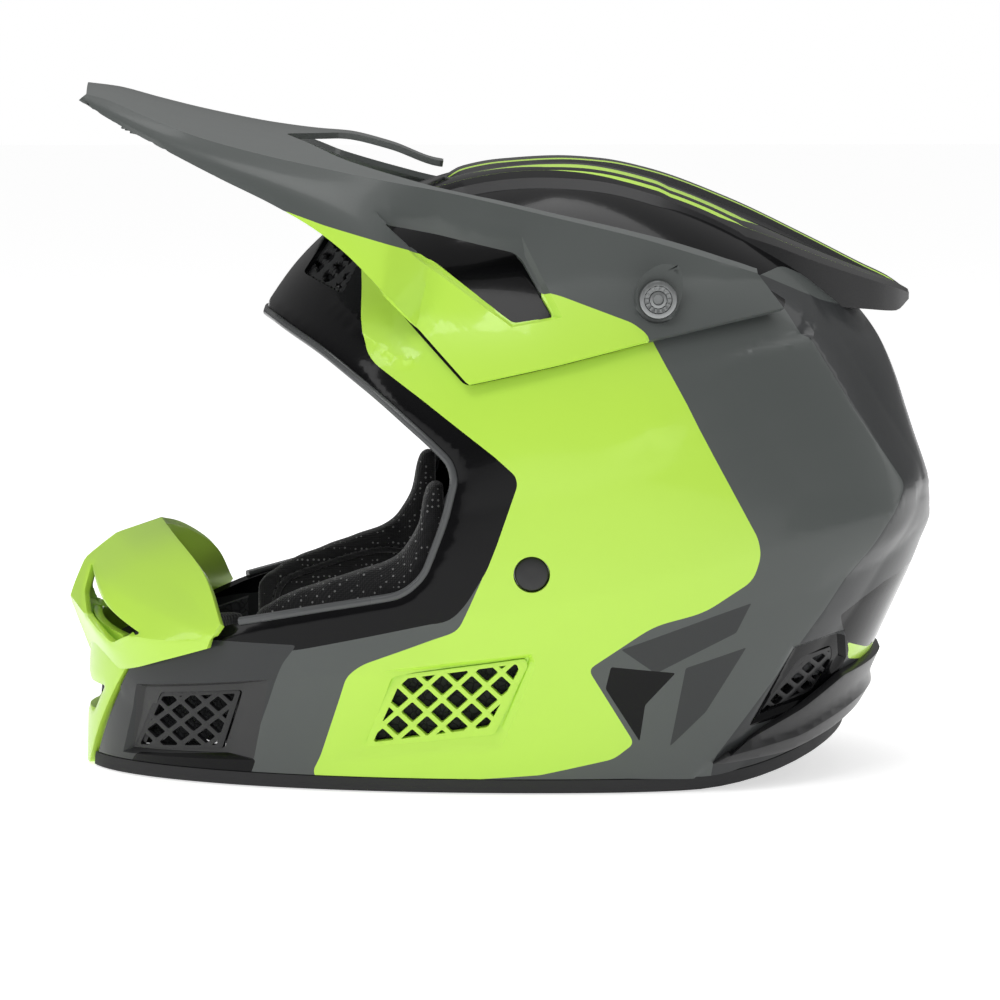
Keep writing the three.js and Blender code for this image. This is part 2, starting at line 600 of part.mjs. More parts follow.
const tab = sidePrism([[RELEASE_FRONT, RELEASE_BOTTOM], [RELEASE_REAR, RELEASE_BOTTOM],
  [RELEASE_REAR, releaseTop], [RELEASE_FRONT, releaseTop]], RELEASE_Y, RELEASE_Y + RELEASE_WALL);
addPair('release_tab', tab, RED_TAPE);

// ---------------------------------------------------------------- strap anchors

const anchorSurface = sideY(ANCHOR_X, ANCHOR_Z);
addPair('anchor_cap', crossBar(ANCHOR_X, ANCHOR_Z, 6.8, -anchorSurface - 0.4, -anchorSurface + 2.6, 24),
  BLACK_PLASTIC);
addPair('anchor_bolt', joined(
  solid(crossBar(ANCHOR_X, ANCHOR_Z, 3.6, -anchorSurface + 3.2, -HANGER_Y + 1.4)),
  solid(crossBar(ANCHOR_X, ANCHOR_Z, 6.2, -HANGER_Y + 0.4, -HANGER_Y + 2.4)),
  solid(crossBar(ANCHOR_X, ANCHOR_Z, 7, -anchorSurface + 3.2, -anchorSurface + 5.2))), STEEL);

// ---------------------------------------------------------------- visor

const VISOR_CREASE = [[-170, 38, 279], [-162, 44, 277], [-140, 62, 268], [-123, 74, 262], [-94, 88, 254.5],
  [-75, 94, 250.5], [-63, 97, 248], [-45, 99.5, 244.5], [-26, 100.5, 241], [-8, 101, 237], [19, 99, 230.5],
  [52, 98, 222.5], [87, 93.5, 212], [100, 89.5, 208]];
const VISOR_LOWER = [[-173, 40, 276.5], [-160, 54, 269], [-135, 74, 256], [-115, 85.5, 246], [-94, 96, 236],
  [-78, 103, 227], [-66, 108, 218], [-50, 113, 202], [-36, 0, 187], [-17, 0, 166], [19, 0, 174], [55, 0, 183],
  [87, 0, 190], [110, 0, 194.5]];
const VISOR_SPINE = [[-171, 283.5], [-159, 282], [-140, 277], [-123, 272.8], [-94, 267], [-75, 264.5],
  [-63, 263.5], [-45, 259], [-26, 252], [-8, 250], [19, 250], [52, 246], [87, 236], [100, 230]];
const WING_START = 8;           // from this station back, the lower edge lies along the shell
const wingOut = VISOR_WALL + WING_CLEARANCE;
const visorRows = VISOR_CREASE.map((crease, i) => {
  const [x, y, z] = VISOR_LOWER[i];
  const lower = point(x, i < WING_START ? y : sideY(x, z) + wingOut, z);
  const upper = point(...crease);
  const spine = point(VISOR_SPINE[i][0], 0, VISOR_SPINE[i][1]);
  const middle = lower.clone().lerp(upper, 0.5);
  const clear = i < WING_START ? 0 : sideY(middle.x, middle.z) + wingOut;
  middle.y = Math.max(middle.y, clear);
  const arch = upper.clone().lerp(spine, 0.5);
  arch.z += 0.25 * (spine.z - upper.z);
  const half = [lower, middle, upper, arch];
  return [...half, spine, ...half.map((p) => point(p.x, -p.y, p.z)).reverse()];
});
const SCOOP_PLAN = [[-4, 0], [140, 0], [140, 84], [100, 86.5], [52, 94], [19, 95], [-12, 96], [-26, 95.5],
  [-51, 88], [-66, 80], [-89, 45], [-66, 22], [-24, 22], [-24, 0]];
const scoops = [1, -1].map((side) => solid(planPrism(side > 0 ? SCOOP_PLAN
  : SCOOP_PLAN.map(([x, y]) => [x, -y]).reverse(), 202, 300)));
const spineEnd = solid(planPrism([[-24.5, -40], [140, -40], [140, 40], [-24.5, 40]], 200, 300));
const VISOR_WINDOW = [[-50, 229], [2, 217.5], [5, 215], [17, 193], [1, 190.5], [-35, 217]];
const window = solid(sidePrism(VISOR_WINDOW, -FAR, FAR));
const swingRoom = [-3, 5].map((degrees) => {
  const grown = form(-0.8).translate(-PIVOT_X, 0, -PIVOT_Z).rotateY(-degrees * Math.PI / 180);
  return solid(grown.translate(PIVOT_X, 0, PIVOT_Z));
});
const visor = cut(solid(thickSheet(visorRows, VISOR_WALL)), ...scoops, spineEnd, window);
const SEAT_RADIUS = 9.4;
const SEAT_WALL = 3;
const seatY = sideY(PIVOT_X, PIVOT_Z - SEAT_RADIUS) + SEAT_WALL;
const screwSeats = [-1, 1].map((side) => {
  const ends = (from, to) => (side < 0 ? [-to, -from] : [from, to]);
  return {
    boss: solid(crossBar(PIVOT_X, PIVOT_Z, SEAT_RADIUS + 2, ...ends(seatY - 4, seatY + 1), 28)),
    recess: solid(crossBar(PIVOT_X, PIVOT_Z, SEAT_RADIUS, ...ends(seatY, FAR), 28)),
  };
});
const seatedVisor = cut(joined(visor, ...screwSeats.map((seat) => seat.boss)),
  ...screwSeats.map((seat) => seat.recess), solid(crossBar(PIVOT_X, PIVOT_Z, 3.2, -FAR, FAR)),
  ...swingRoom);
add('visor', seatedVisor, GREY_PAINT);

const SCREW_RADIUS = 7.8;
const nutOuter = sideY(PIVOT_X, PIVOT_Z + 6) - SHELL_WALL - 1.6;
addPair('visor_washer', cut(solid(crossBar(PIVOT_X, PIVOT_Z, 7.6, -seatY - 1.1, -seatY - 0.3, 24)),
  solid(crossBar(PIVOT_X, PIVOT_Z, 3.2, -FAR, 0))), RUBBER);
addPair('visor_screw', joined(
  solid(crossBar(PIVOT_X, PIVOT_Z, SCREW_RADIUS, -seatY - 4.2, -seatY - 1.5, 24)),
  solid(crossBar(PIVOT_X, PIVOT_Z, 2.5, -seatY - 2, -nutOuter + 5))), STEEL);
addPair('visor_nut', cut(solid(crossBar(PIVOT_X, PIVOT_Z, 5.2, -nutOuter, -nutOuter + 4, 6)),
  solid(crossBar(PIVOT_X, PIVOT_Z, 2.8, -FAR, 0))), STEEL);

// ---------------------------------------------------------------- chin strap

// The fastened strap hangs in the plane x = ANCHOR_X. Its centre line is drawn in the front view.
const SHORT_END = [52, 30];     // where the two ring bars sit in the short strap's loop
const STRAP_SLOPE = [-0.774, -0.633];
const STRAP_OUT = [0.633, -0.774];
function onBuckle(along, out) {
  return [SHORT_END[0] + STRAP_SLOPE[0] * along + STRAP_OUT[0] * out,
    SHORT_END[1] + STRAP_SLOPE[1] * along + STRAP_OUT[1] * out];
}

// An outline of even thickness along a line of points, smoothed.
function ribbonOutline(points, thickness, perPoint = 3) {
  const curve = new THREE.SplineCurve(points.map(([a, b]) => new THREE.Vector2(a, b)));
  const line = curve.getPoints((points.length - 1) * perPoint);
  const side = (sign) => line.map((p, i) => {
    const ahead = line[Math.min(i + 1, line.length - 1)].clone().sub(line[Math.max(i - 1, 0)]).normalize();
    return [p.x - sign * ahead.y * thickness / 2, p.y + sign * ahead.x * thickness / 2];
  });
  return [...side(-1), ...side(1).reverse()];
}

function strapPrism(points, holes, width = STRAP_WIDTH) {
  return solid(frontPrism(points, ANCHOR_X - width / 2, ANCHOR_X + width / 2, holes));
}

// A flat-sided loop of webbing round a bar: centre, half height along a direction, half thickness.
function loopOutline(centre, along, halfLong, halfThick, segments = 12) {
  const across = [-along[1], along[0]];
  return Array.from({ length: segments }, (unused, i) => {
    const angle = 2 * Math.PI * i / segments;
    const reach = halfLong - halfThick;
    const a = Math.sign(Math.round(Math.cos(angle) * 100)) * Math.max(reach, 0) + halfThick * Math.cos(angle);
    const b = halfThick * Math.sin(angle);
    return [centre[0] + along[0] * a + across[0] * b, centre[1] + along[1] * a + across[1] * b];
  });
}
const HANGER_BAR = [HANGER_Y + HANGER_WALL / 2, 74.5];
const hangerLoop = (side) => {
  const centre = [side * HANGER_BAR[0], HANGER_BAR[1]];
  return strapPrism(loopOutline(centre, [0, 1], 6, 3.1), [loopOutline(centre, [0, 1], 4.2, 1.3)]);
};
const buckleLoop = strapPrism(loopOutline(SHORT_END, STRAP_OUT, 6.3, 4.3),
  [loopOutline(SHORT_END, STRAP_OUT, 4.5, 2.5)]);
const shortLine = [[HANGER_BAR[0], 69.4], [80.6, 58], [70, 44], onBuckle(-5, 0), onBuckle(-3.4, 0)];
const strapShort = joined(strapPrism(ribbonOutline(shortLine, STRAP_THICKNESS)), hangerLoop(1), buckleLoop);
add('strap_short', strapShort, WEBBING);

const BOW_A = [20, -3];
const BOW_B = [21, 3.4];
const turnRadius = RING_WIRE + STRAP_THICKNESS / 2 + 0.6;
const mainLine = [[-HANGER_BAR[0], 69.4], [-80.6, 58], [-68, 40], [-48, 24], [-24, 13.5], [0, 9.8], [14, 10.5],
  onBuckle(BOW_A[0] + 8, BOW_A[1] - turnRadius), onBuckle(BOW_A[0] + 1, BOW_A[1] - turnRadius)];
const turn = Array.from({ length: 7 }, (unused, i) => {
  const angle = Math.PI * (1.5 - i / 6);
  return onBuckle(BOW_A[0] + turnRadius * Math.cos(angle), BOW_A[1] + turnRadius * Math.sin(angle));
});
const tailLine = [onBuckle(BOW_A[0] + 6, 0.2), onBuckle(BOW_A[0] + 15, -1.6), [12.5, 7.5], [0, 6.9], [-24, 10.6],
  [-44, 18.6]];
const strapLong = joined(strapPrism(ribbonOutline([...mainLine, ...turn, ...tailLine], STRAP_THICKNESS)),
  hangerLoop(-1));
add('strap_long', strapLong, WEBBING);

// A D-shaped ring: its straight bar at one place on the buckle, its bow at another.
function dRing(bar, bow) {
  const halfBar = STRAP_WIDTH / 2 + 2.6;
  const corner = 2.8;
  const path = [];
  const place = (across, share) => {
    const [y, z] = onBuckle(bar[0] + (bow[0] - bar[0]) * share, bar[1] + (bow[1] - bar[1]) * share);
    path.push(point(ANCHOR_X + across, y, z));
  };
  const reach = Math.hypot(bow[0] - bar[0], bow[1] - bar[1]);
  const arc = (cx, cs, from) => {
    for (let i = 0; i <= 3; i += 1) {
      const angle = from + Math.PI / 2 * i / 3;
      place(cx + corner * Math.cos(angle), (cs + corner * Math.sin(angle)) / reach);
    }
  };
  const small = 1.8;
  place(halfBar - small, 0);
  place(halfBar, small / reach);
  arc(halfBar - corner, reach - corner, 0);
  arc(-halfBar + corner, reach - corner, Math.PI / 2);
  place(-halfBar, small / reach);
  place(-halfBar + small, 0);
  return wireLoop(path, RING_WIRE);
}
add('d_ring_upper', dRing([0, -2.05], BOW_A), STEEL);
add('d_ring_lower', dRing([0, 2.05], BOW_B), STEEL);

const SNAP_Y = -30;
function snapDisc(out, thickness, radius) {
  const disc = new THREE.CylinderGeometry(radius, radius, thickness, 20).rotateX(Math.PI / 2);
  const slope = Math.atan2(-8, 20);
  return disc.rotateX(slope).translate(ANCHOR_X, SNAP_Y - out * Math.sin(slope), 15.9 + out * Math.cos(slope));
}
add('snap_stud', snapDisc(2.4, 1.6, 5), BLACK_PLASTIC);
add('snap_cap', snapDisc(-5, 1.6, 6), BLACK_PLASTIC);

const HANGER = [[-14, 70], [14, 70], [14, 84], [8.5, 96], [4, 100], [-4, 100], [-8.5, 96], [-14, 84]]
  .map(([x, z]) => [ANCHOR_X + x, z]);
const slotHole = [[-12.6, 78.2], [12.6, 78.2], [12.6, 82], [-12.6, 82]].map(([x, z]) => [ANCHOR_X + x, z]);
const barHole = [[-12.6, 66], [12.6, 66], [12.6, 70.8], [-12.6, 70.8]].map(([x, z]) => [ANCHOR_X + x, z]);
addPair('strap_hanger', cut(
  solid(sidePrism(HANGER, -HANGER_Y - HANGER_WALL, -HANGER_Y, [slotHole.reverse()])),
  solid(sidePrism(barHole, -FAR, 0)), solid(crossBar(ANCHOR_X, ANCHOR_Z, 4, -FAR, 0))), STEEL);

const sleeveLine = (side) => [[side * 79.8, 56.6], [side * 74, 47.4], [side * 68, 40.8]];
function strapPad(side) {
  const line = sleeveLine(side);
  const body = strapPrism(ribbonOutline(line, 9), [], STRAP_WIDTH + 6);
  const room = side < 0 ? ribbonOutline(mainLine.slice(0, 6), STRAP_THICKNESS + 1)
    : ribbonOutline(shortLine, STRAP_THICKNESS + 1);
  return cut(body, strapPrism(room, [], STRAP_WIDTH + 0.8));
}
add('strap_pad_left', strapPad(-1), FABRIC);
add('strap_pad_right', strapPad(1), FABRIC);

export default helmet;
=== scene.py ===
"""Motocross helmet: painted shell, tilting visor, vent lattices, nose guard, soft lining and chin strap."""

import math

import bmesh
import bpy
import numpy as np
from bpy.props import FloatProperty, FloatVectorProperty, IntProperty, PointerProperty
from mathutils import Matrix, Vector, geometry, kdtree
from mathutils.bvhtree import BVHTree


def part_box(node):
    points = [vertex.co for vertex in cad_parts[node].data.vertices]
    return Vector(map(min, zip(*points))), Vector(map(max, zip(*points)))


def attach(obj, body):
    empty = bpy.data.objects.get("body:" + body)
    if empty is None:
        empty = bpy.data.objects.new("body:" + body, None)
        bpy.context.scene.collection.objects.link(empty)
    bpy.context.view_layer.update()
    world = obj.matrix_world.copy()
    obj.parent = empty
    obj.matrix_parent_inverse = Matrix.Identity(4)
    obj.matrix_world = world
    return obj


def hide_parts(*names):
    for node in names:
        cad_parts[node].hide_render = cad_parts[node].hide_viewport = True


bl_info = {
    "name": "Motocross Helmet",
    "version": (1, 0, 0),
    "blender": (4, 5, 0),
    "location": "View3D > Sidebar > Helmet",
    "description": "Builds the looks of a motocross helmet around its packed model",
    "category": "Object",
}

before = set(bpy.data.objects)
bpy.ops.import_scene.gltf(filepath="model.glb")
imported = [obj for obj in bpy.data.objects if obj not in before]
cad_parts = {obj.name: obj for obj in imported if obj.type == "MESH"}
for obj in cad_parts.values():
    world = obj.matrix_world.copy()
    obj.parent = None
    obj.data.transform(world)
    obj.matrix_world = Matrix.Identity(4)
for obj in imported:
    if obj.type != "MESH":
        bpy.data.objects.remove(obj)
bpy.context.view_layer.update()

MM = 0.001
FAR = 260.0

# ---------------------------------------------------------------- curves and the shell's outer form


class Through:
    """A smooth curve through (t, value, ...) rows that never overshoots them."""

    def __init__(self, rows):
        table = np.array(rows, float)
        self.t, self.v = table[:, 0], table[:, 1:]
        slope = np.diff(self.v, axis=0) / np.diff(self.t)[:, None]
        inner = np.zeros_like(slope[1:])
        product = slope[:-1] * slope[1:]
        same = product > 0
        inner[same] = (2 * product[same]) / (slope[:-1] + slope[1:])[same]
        self.m = np.vstack([slope[:1], inner, slope[-1:]])

    def __call__(self, t):
        t = np.clip(np.asarray(t, float), self.t[0], self.t[-1])
        i = np.clip(np.searchsorted(self.t, t, side="right") - 1, 0, len(self.t) - 2)
        h = (self.t[i + 1] - self.t[i])[..., None]
        u = (t - self.t[i])[..., None] / h
        rise = self.v[i + 1] - self.v[i]
        value = self.v[i] + rise * u * u * (3 - 2 * u)
        value = value + h * (self.m[i] * u * (1 - u) ** 2 - self.m[i + 1] * u * u * (1 - u))
        return value[..., 0] if value.shape[-1] == 1 else value


WIDEST_Z = 130.0
CROWN_Z = 251.0
WIDEST_X = 25.0
FRONT_POWER = 2.0
REAR_POWER = 2.35
DOME = CROWN_Z - WIDEST_Z


def climb(z):
    """Distance up the shell's side for a height: equal below the widest level, an arc above it."""
    z = np.asarray(z, float)
    return np.where(z < WIDEST_Z, z, WIDEST_Z + DOME * np.arcsin(np.clip((z - WIDEST_Z) / DOME, 0, 1)))


def height(v):
    return np.where(v < WIDEST_Z, v, WIDEST_Z + DOME * np.sin(np.clip((v - WIDEST_Z) / DOME, 0, math.pi / 2)))


def profile(rows):
    return Through([(float(climb(z)), x) for z, x in rows])


front_x = profile([(-20, -170), (0, -172), (38, -171), (66, -169), (112, -150), (152, -123), (190, -98.5),
                   (210, -84), (227, -65), (240, -38), (251, 22)])
rear_x = profile([(-20, 122), (0, 136), (40, 151.5), (63, 162), (94, 176), (106, 180.5), (141, 171.5),
                  (176, 159), (202, 138), (222, 110), (238, 78), (247, 50), (251, 22)])
lower_width = Through([(-20, 92), (0, 101), (30, 111), (60, 118), (100, 123.5), (130, 124.5), (131, 124.5)])


def half_width(z):
    z = np.asarray(z, float)
    rise = np.clip((z - WIDEST_Z) / DOME, 0, 1)
    return np.where(z < WIDEST_Z, lower_width(z), 124.5 * (1 - rise ** 2.3) ** (1 / 2.3))


def side_y(x, z):
    """Half width of the shell's outer form at a place in the side view."""
    x, z = np.asarray(x, float), np.asarray(z, float)
    v = climb(z)
    front = x < WIDEST_X
    reach = np.where(front, WIDEST_X - front_x(v), rear_x(v) - WIDEST_X)
    power = np.where(front, FRONT_POWER, REAR_POWER)
    along = np.clip(np.abs(x - WIDEST_X) / np.maximum(reach, 1e-6), 0, 1)
    return half_width(z) * (1 - along ** power) ** (1 / power)


def top_z(x, y):
    """Height of the shell's outer form over a place in plan."""
    low, high = WIDEST_Z, CROWN_Z
    for _ in range(40):
        middle = (low + high) / 2
        if float(side_y(x, middle)) > abs(y):
            low = middle
        else:
            high = middle
    return low


def base_z(x):
    """Height of the edge between the shell and its rubber base trim."""
    return 6 + 0.00344 * np.clip(np.asarray(x, float) - 70, 0, 95) ** 2


VIEWS = {"side": lambda p: p[:, [0, 2]],
         "front": lambda p: np.where(p[:, :1] > 0, -1e4, p[:, [1, 2]] * (-1, 1)),
         "top": lambda p: p[:, [0, 1]] * (1, -1)}


class Surface:
    """Half of a symmetric surface, on the wearer's left, over a rectangle of (u, v)."""

    def __init__(self, place, size, outward=1.0):
        self.place, self.size, self.outward = place, size, outward

    def at(self, uv):
        return self.place(uv)

    def normals(self, uv):
        step = 0.05
        low, high = np.zeros(2), np.array(self.size)
        du, dv = np.array([step, 0]), np.array([0, step])
        along = self.at(np.clip(uv + du, low, high)) - self.at(np.clip(uv - du, low, high))
        up = self.at(np.clip(uv + dv, low, high)) - self.at(np.clip(uv - dv, low, high))
        cross = np.cross(along, up) * self.outward
        length = np.linalg.norm(cross, axis=1, keepdims=True)
        flat = length[:, 0] < 1e-9
        cross[flat] = (0, 0, 1)
        length[flat] = 1
        normal = cross / length
        edge = (self.at(uv)[:, 1] > -1e-6)
        normal[edge, 1] = 0
        return normal / np.linalg.norm(normal, axis=1, keepdims=True)

    def find(self, points, view):
        """(u, v) of places drawn in a flat view."""
        grid = 140
        u, v = np.meshgrid(np.linspace(0, self.size[0], grid), np.linspace(0, self.size[1], grid))
        samples = np.column_stack([u.ravel(), v.ravel()])
        flat = VIEWS[view](self.at(samples))
        points = np.asarray(points, float)
        best = np.array([np.argmin(((flat - p) ** 2).sum(1)) for p in points])
        uv = samples[best].copy()
        for _ in range(8):
            here = VIEWS[view](self.at(uv))
            miss = points - here
            step = 0.1
            a = (VIEWS[view](self.at(uv + (step, 0))) - here) / step
            b = (VIEWS[view](self.at(uv + (0, step))) - here) / step
            det = a[:, 0] * b[:, 1] - a[:, 1] * b[:, 0]
            det = np.where(np.abs(det) < 1e-3, 1e9, det)
            du = (miss[:, 0] * b[:, 1] - miss[:, 1] * b[:, 0]) / det
            dv = (a[:, 0] * miss[:, 1] - a[:, 1] * miss[:, 0]) / det
            uv = np.clip(uv + np.clip(np.column_stack([du, dv]), -6, 6), (0, 0), self.size)
        return uv, np.zeros(len(points), bool)


class ShellForm(Surface):
    """The shell's outer form moved outwards by an offset; u runs from the rear centre line to the front."""

    AROUND = 130.0
    BOTTOM = -4.0

    def __init__(self, offset=0.0):
        self.offset = offset
        self.size = (math.pi * self.AROUND, WIDEST_Z + DOME * math.pi / 2 - self.BOTTOM)
        self.outward = -1.0

    def at(self, uv):
        t = np.clip(uv[:, 0] / self.AROUND, 0, math.pi)
        v = uv[:, 1] + self.BOTTOM
        z = height(v)
        c, s = np.cos(t), np.abs(np.sin(t))
        s[(t < 1e-9) | (t > math.pi - 1e-9)] = 0
        front = c < 0
        reach = np.where(front, WIDEST_X - front_x(v), rear_x(v) - WIDEST_X) + self.offset
        power = np.where(front, FRONT_POWER, REAR_POWER)
        x = WIDEST_X + reach * np.sign(c) * np.abs(c) ** (2 / power)
        y = -(half_width(z) + self.offset) * s ** (2 / power)
        lift = self.offset * np.sin(np.clip((v - WIDEST_Z) / DOME, 0, math.pi / 2))
        return np.column_stack([x, y, z + lift])

    def find(self, points, view):
        points = np.asarray(points, float)
        z = np.clip(points[:, 1], self.BOTTOM, CROWN_Z - 0.01)
        v = climb(z)
        if view == "front":
            share = np.clip(points[:, 0] / (half_width(z) + self.offset), 0, 1)
            t = math.pi - np.arcsin(share ** (FRONT_POWER / 2))
            off = points[:, 0] > half_width(z) + self.offset
        else:
            x = points[:, 0]
            front = x < WIDEST_X
            reach = np.where(front, WIDEST_X - front_x(v), rear_x(v) - WIDEST_X) + self.offset
            share = np.abs(x - WIDEST_X) / reach
            off = share > 1
            power = np.where(front, FRONT_POWER, REAR_POWER)
            c = np.clip(share, 0, 1) ** (power / 2)
            t = np.where(front, np.arccos(-c), np.arccos(c))
        return np.column_stack([t * self.AROUND, v - self.BOTTOM]), off | (points[:, 1] < self.BOTTOM)


# ---------------------------------------------------------------- outlines


def rounded(points, radius=2.0, closed=True):
    """Corner points, each (a, b) or (a, b, radius), with their corners eased."""
    out = []
    count = len(points)
    for i, corner in enumerate(points):
        p = np.array(corner[:2], float)
        if not closed and i in (0, count - 1):
            out.append(p)
            continue
        before = np.array(points[i - 1][:2], float) - p
        after = np.array(points[(i + 1) % count][:2], float) - p
        reach_a, reach_b = np.linalg.norm(before), np.linalg.norm(after)
        ease = min(corner[2] if len(corner) > 2 else radius, 0.45 * reach_a, 0.45 * reach_b)
        if ease < 0.05:
            out.append(p)
            continue
        start, end = p + before / reach_a * ease, p + after / reach_b * ease
        for t in np.linspace(0, 1, 6):
            out.append((1 - t) ** 2 * start + 2 * t * (1 - t) * p + t * t * end)
    return np.array(out)


def dense(line, step=1.6, closed=True):
    """The same line with points at least this often."""
    out = []
    count = len(line)
    for i in range(count if closed else count - 1):
        a, b = line[i], line[(i + 1) % count]
        pieces = max(1, int(math.ceil(np.linalg.norm(b - a) / step)))
        out.extend(a + (b - a) * k / pieces for k in range(pieces))
    if not closed:
        out.append(line[-1])
    return np.array(out)


def inside(points, line):
    """Which points lie inside a closed line."""
    result = np.zeros(len(points), bool)
    near = np.all((points >= line.min(0)) & (points <= line.max(0)), axis=1)
    p = points[near]
    hit = np.zeros(len(p), bool)
    for a, b in zip(line, np.roll(line, -1, axis=0)):
        if a[1] == b[1]:
            continue
        crosses = (a[1] > p[:, 1]) != (b[1] > p[:, 1])
        hit ^= crosses & (p[:, 0] < (b[0] - a[0]) * (p[:, 1] - a[1]) / (b[1] - a[1]) + a[0])
    result[near] = hit
    return result


class Outline:
    """A closed line drawn in a flat view."""

    def __init__(self, points, view="side", radius=2.0, step=1.6):
        self.view = view
        self.line = dense(rounded(points, radius), step)
        self.lines = [(self.line, True)]

    def holds(self, base, uv):
        return inside(uv if self.view == "sheet" else VIEWS[self.view](base), self.line)


class Pocket:
    """A convex outline sunk or raised by a depth; corners are (a, b, width of that edge's slope)."""

    def __init__(self, corners, depth, view="side"):
        self.view, self.depth = view, depth
        p = np.array([c[:2] for c in corners], float)
        area = np.sum(p[:, 0] * np.roll(p[:, 1], -1) - np.roll(p[:, 0], -1) * p[:, 1])
        self.width = np.array([c[2] for c in corners], float)
        if area < 0:
            p = p[::-1]
            self.width = np.roll(self.width[::-1], -1)
        along = np.roll(p, -1, axis=0) - p
        along /= np.linalg.norm(along, axis=1, keepdims=True)
        self.start, self.inward = p, np.column_stack([-along[:, 1], along[:, 0]])
        inner = []
        for i in range(len(p)):
            n = np.array([self.inward[i - 1], self.inward[i]])
            c = [self.inward[i - 1] @ p[i - 1] + self.width[i - 1], self.inward[i] @ p[i] + self.width[i]]
            inner.append(np.linalg.solve(n, c))
        inner = np.array(inner)
        ribs = [(dense(np.array([a, b]), 1.6, False), False) for a, b in zip(p, inner)]
        self.lines = [(dense(p), True), (dense(inner), True)] + ribs
        self.inner = inner

    def shift(self, base, normals):
        flat = VIEWS[self.view](base)
        share = np.full(len(flat), 1.0)
        for start, inward, width in zip(self.start, self.inward, self.width):
            share = np.minimum(share, np.clip(((flat - start) @ inward) / width, 0, 1))
        return self.depth * share


class Crease:
    """A raised or sunk line that falls off over one width to its left and another to its right."""

    def __init__(self, points, height_mm, left, right, view="side", closed=False):
        self.view, self.height, self.left, self.right = view, height_mm, left, right
        self.line = dense(rounded(points, 3.0, closed), 1.6, closed)
        self.closed = closed
        self.lines = [(self.line, closed)]

    def shift(self, base, normals):
        flat = VIEWS[self.view](base)
        best = np.full(len(flat), 1e9)
        side = np.zeros(len(flat))
        ends = np.roll(self.line, -1, axis=0) if self.closed else self.line[1:]
        for a, b in zip(self.line, ends):
            d = b - a
            t = np.clip(((flat - a) @ d) / (d @ d), 0, 1)
            gap = flat - (a + t[:, None] * d)
            distance = np.hypot(gap[:, 0], gap[:, 1])
            closer = distance < best - 1e-9
            best[closer] = distance[closer]
            side[closer] = (d[0] * gap[:, 1] - d[1] * gap[:, 0])[closer]
        width = np.where(side > 0, self.left, self.right)
        return self.height * np.clip(1 - best / width, 0, 1)


class Seat:
    """A round place where the surface is cut back (or built up) to a flat across the helmet."""

    def __init__(self, centre, radius, level):
        self.view, self.centre, self.level = "side", np.array(centre), level
        self.outer, self.foot = radius, radius - 0.5
        turn = np.linspace(0, 2 * math.pi, 33)[:-1]
        ring = np.column_stack([np.cos(turn), np.sin(turn)])
        self.lines = [(self.centre + ring * self.outer, True), (self.centre + ring * self.foot, True)]

    def shift(self, base, normals):
        reach = np.linalg.norm(VIEWS["side"](base) - self.centre, axis=1)
        share = np.clip((self.outer - reach) / (self.outer - self.foot), 0, 1)
        return -share * (-base[:, 1] - self.level) / np.maximum(-normals[:, 1], 0.3)


# ---------------------------------------------------------------- meshes over a surface


def lattice_points(surface, spacing):
    """Points spread evenly over a surface's rectangle, with both ends of each row."""
    width, tall = surface.size
    middle = np.column_stack([np.full(60, width / 2), np.linspace(0, tall, 60)])
    climb_length = np.linalg.norm(np.diff(surface.at(middle), axis=0), axis=1).sum()
    rows = max(2, int(climb_length / (spacing * 0.87)))
    found = []
    for i in range(rows + 1):
        v = tall * i / rows
        sweep = np.column_stack([np.linspace(0, width, 60), np.full(60, v)])
        length = np.linalg.norm(np.diff(surface.at(sweep), axis=0), axis=1).sum()
        count = max(1, int(length / spacing))
        u = np.linspace(0, width, count + 1)
        if i % 2 and count > 2:
            u = np.concatenate([[0], (u[:-1] + u[1:]) / 2, [width]])
        found.append(np.column_stack([u, np.full(len(u), v)]))
    return np.vstack(found)


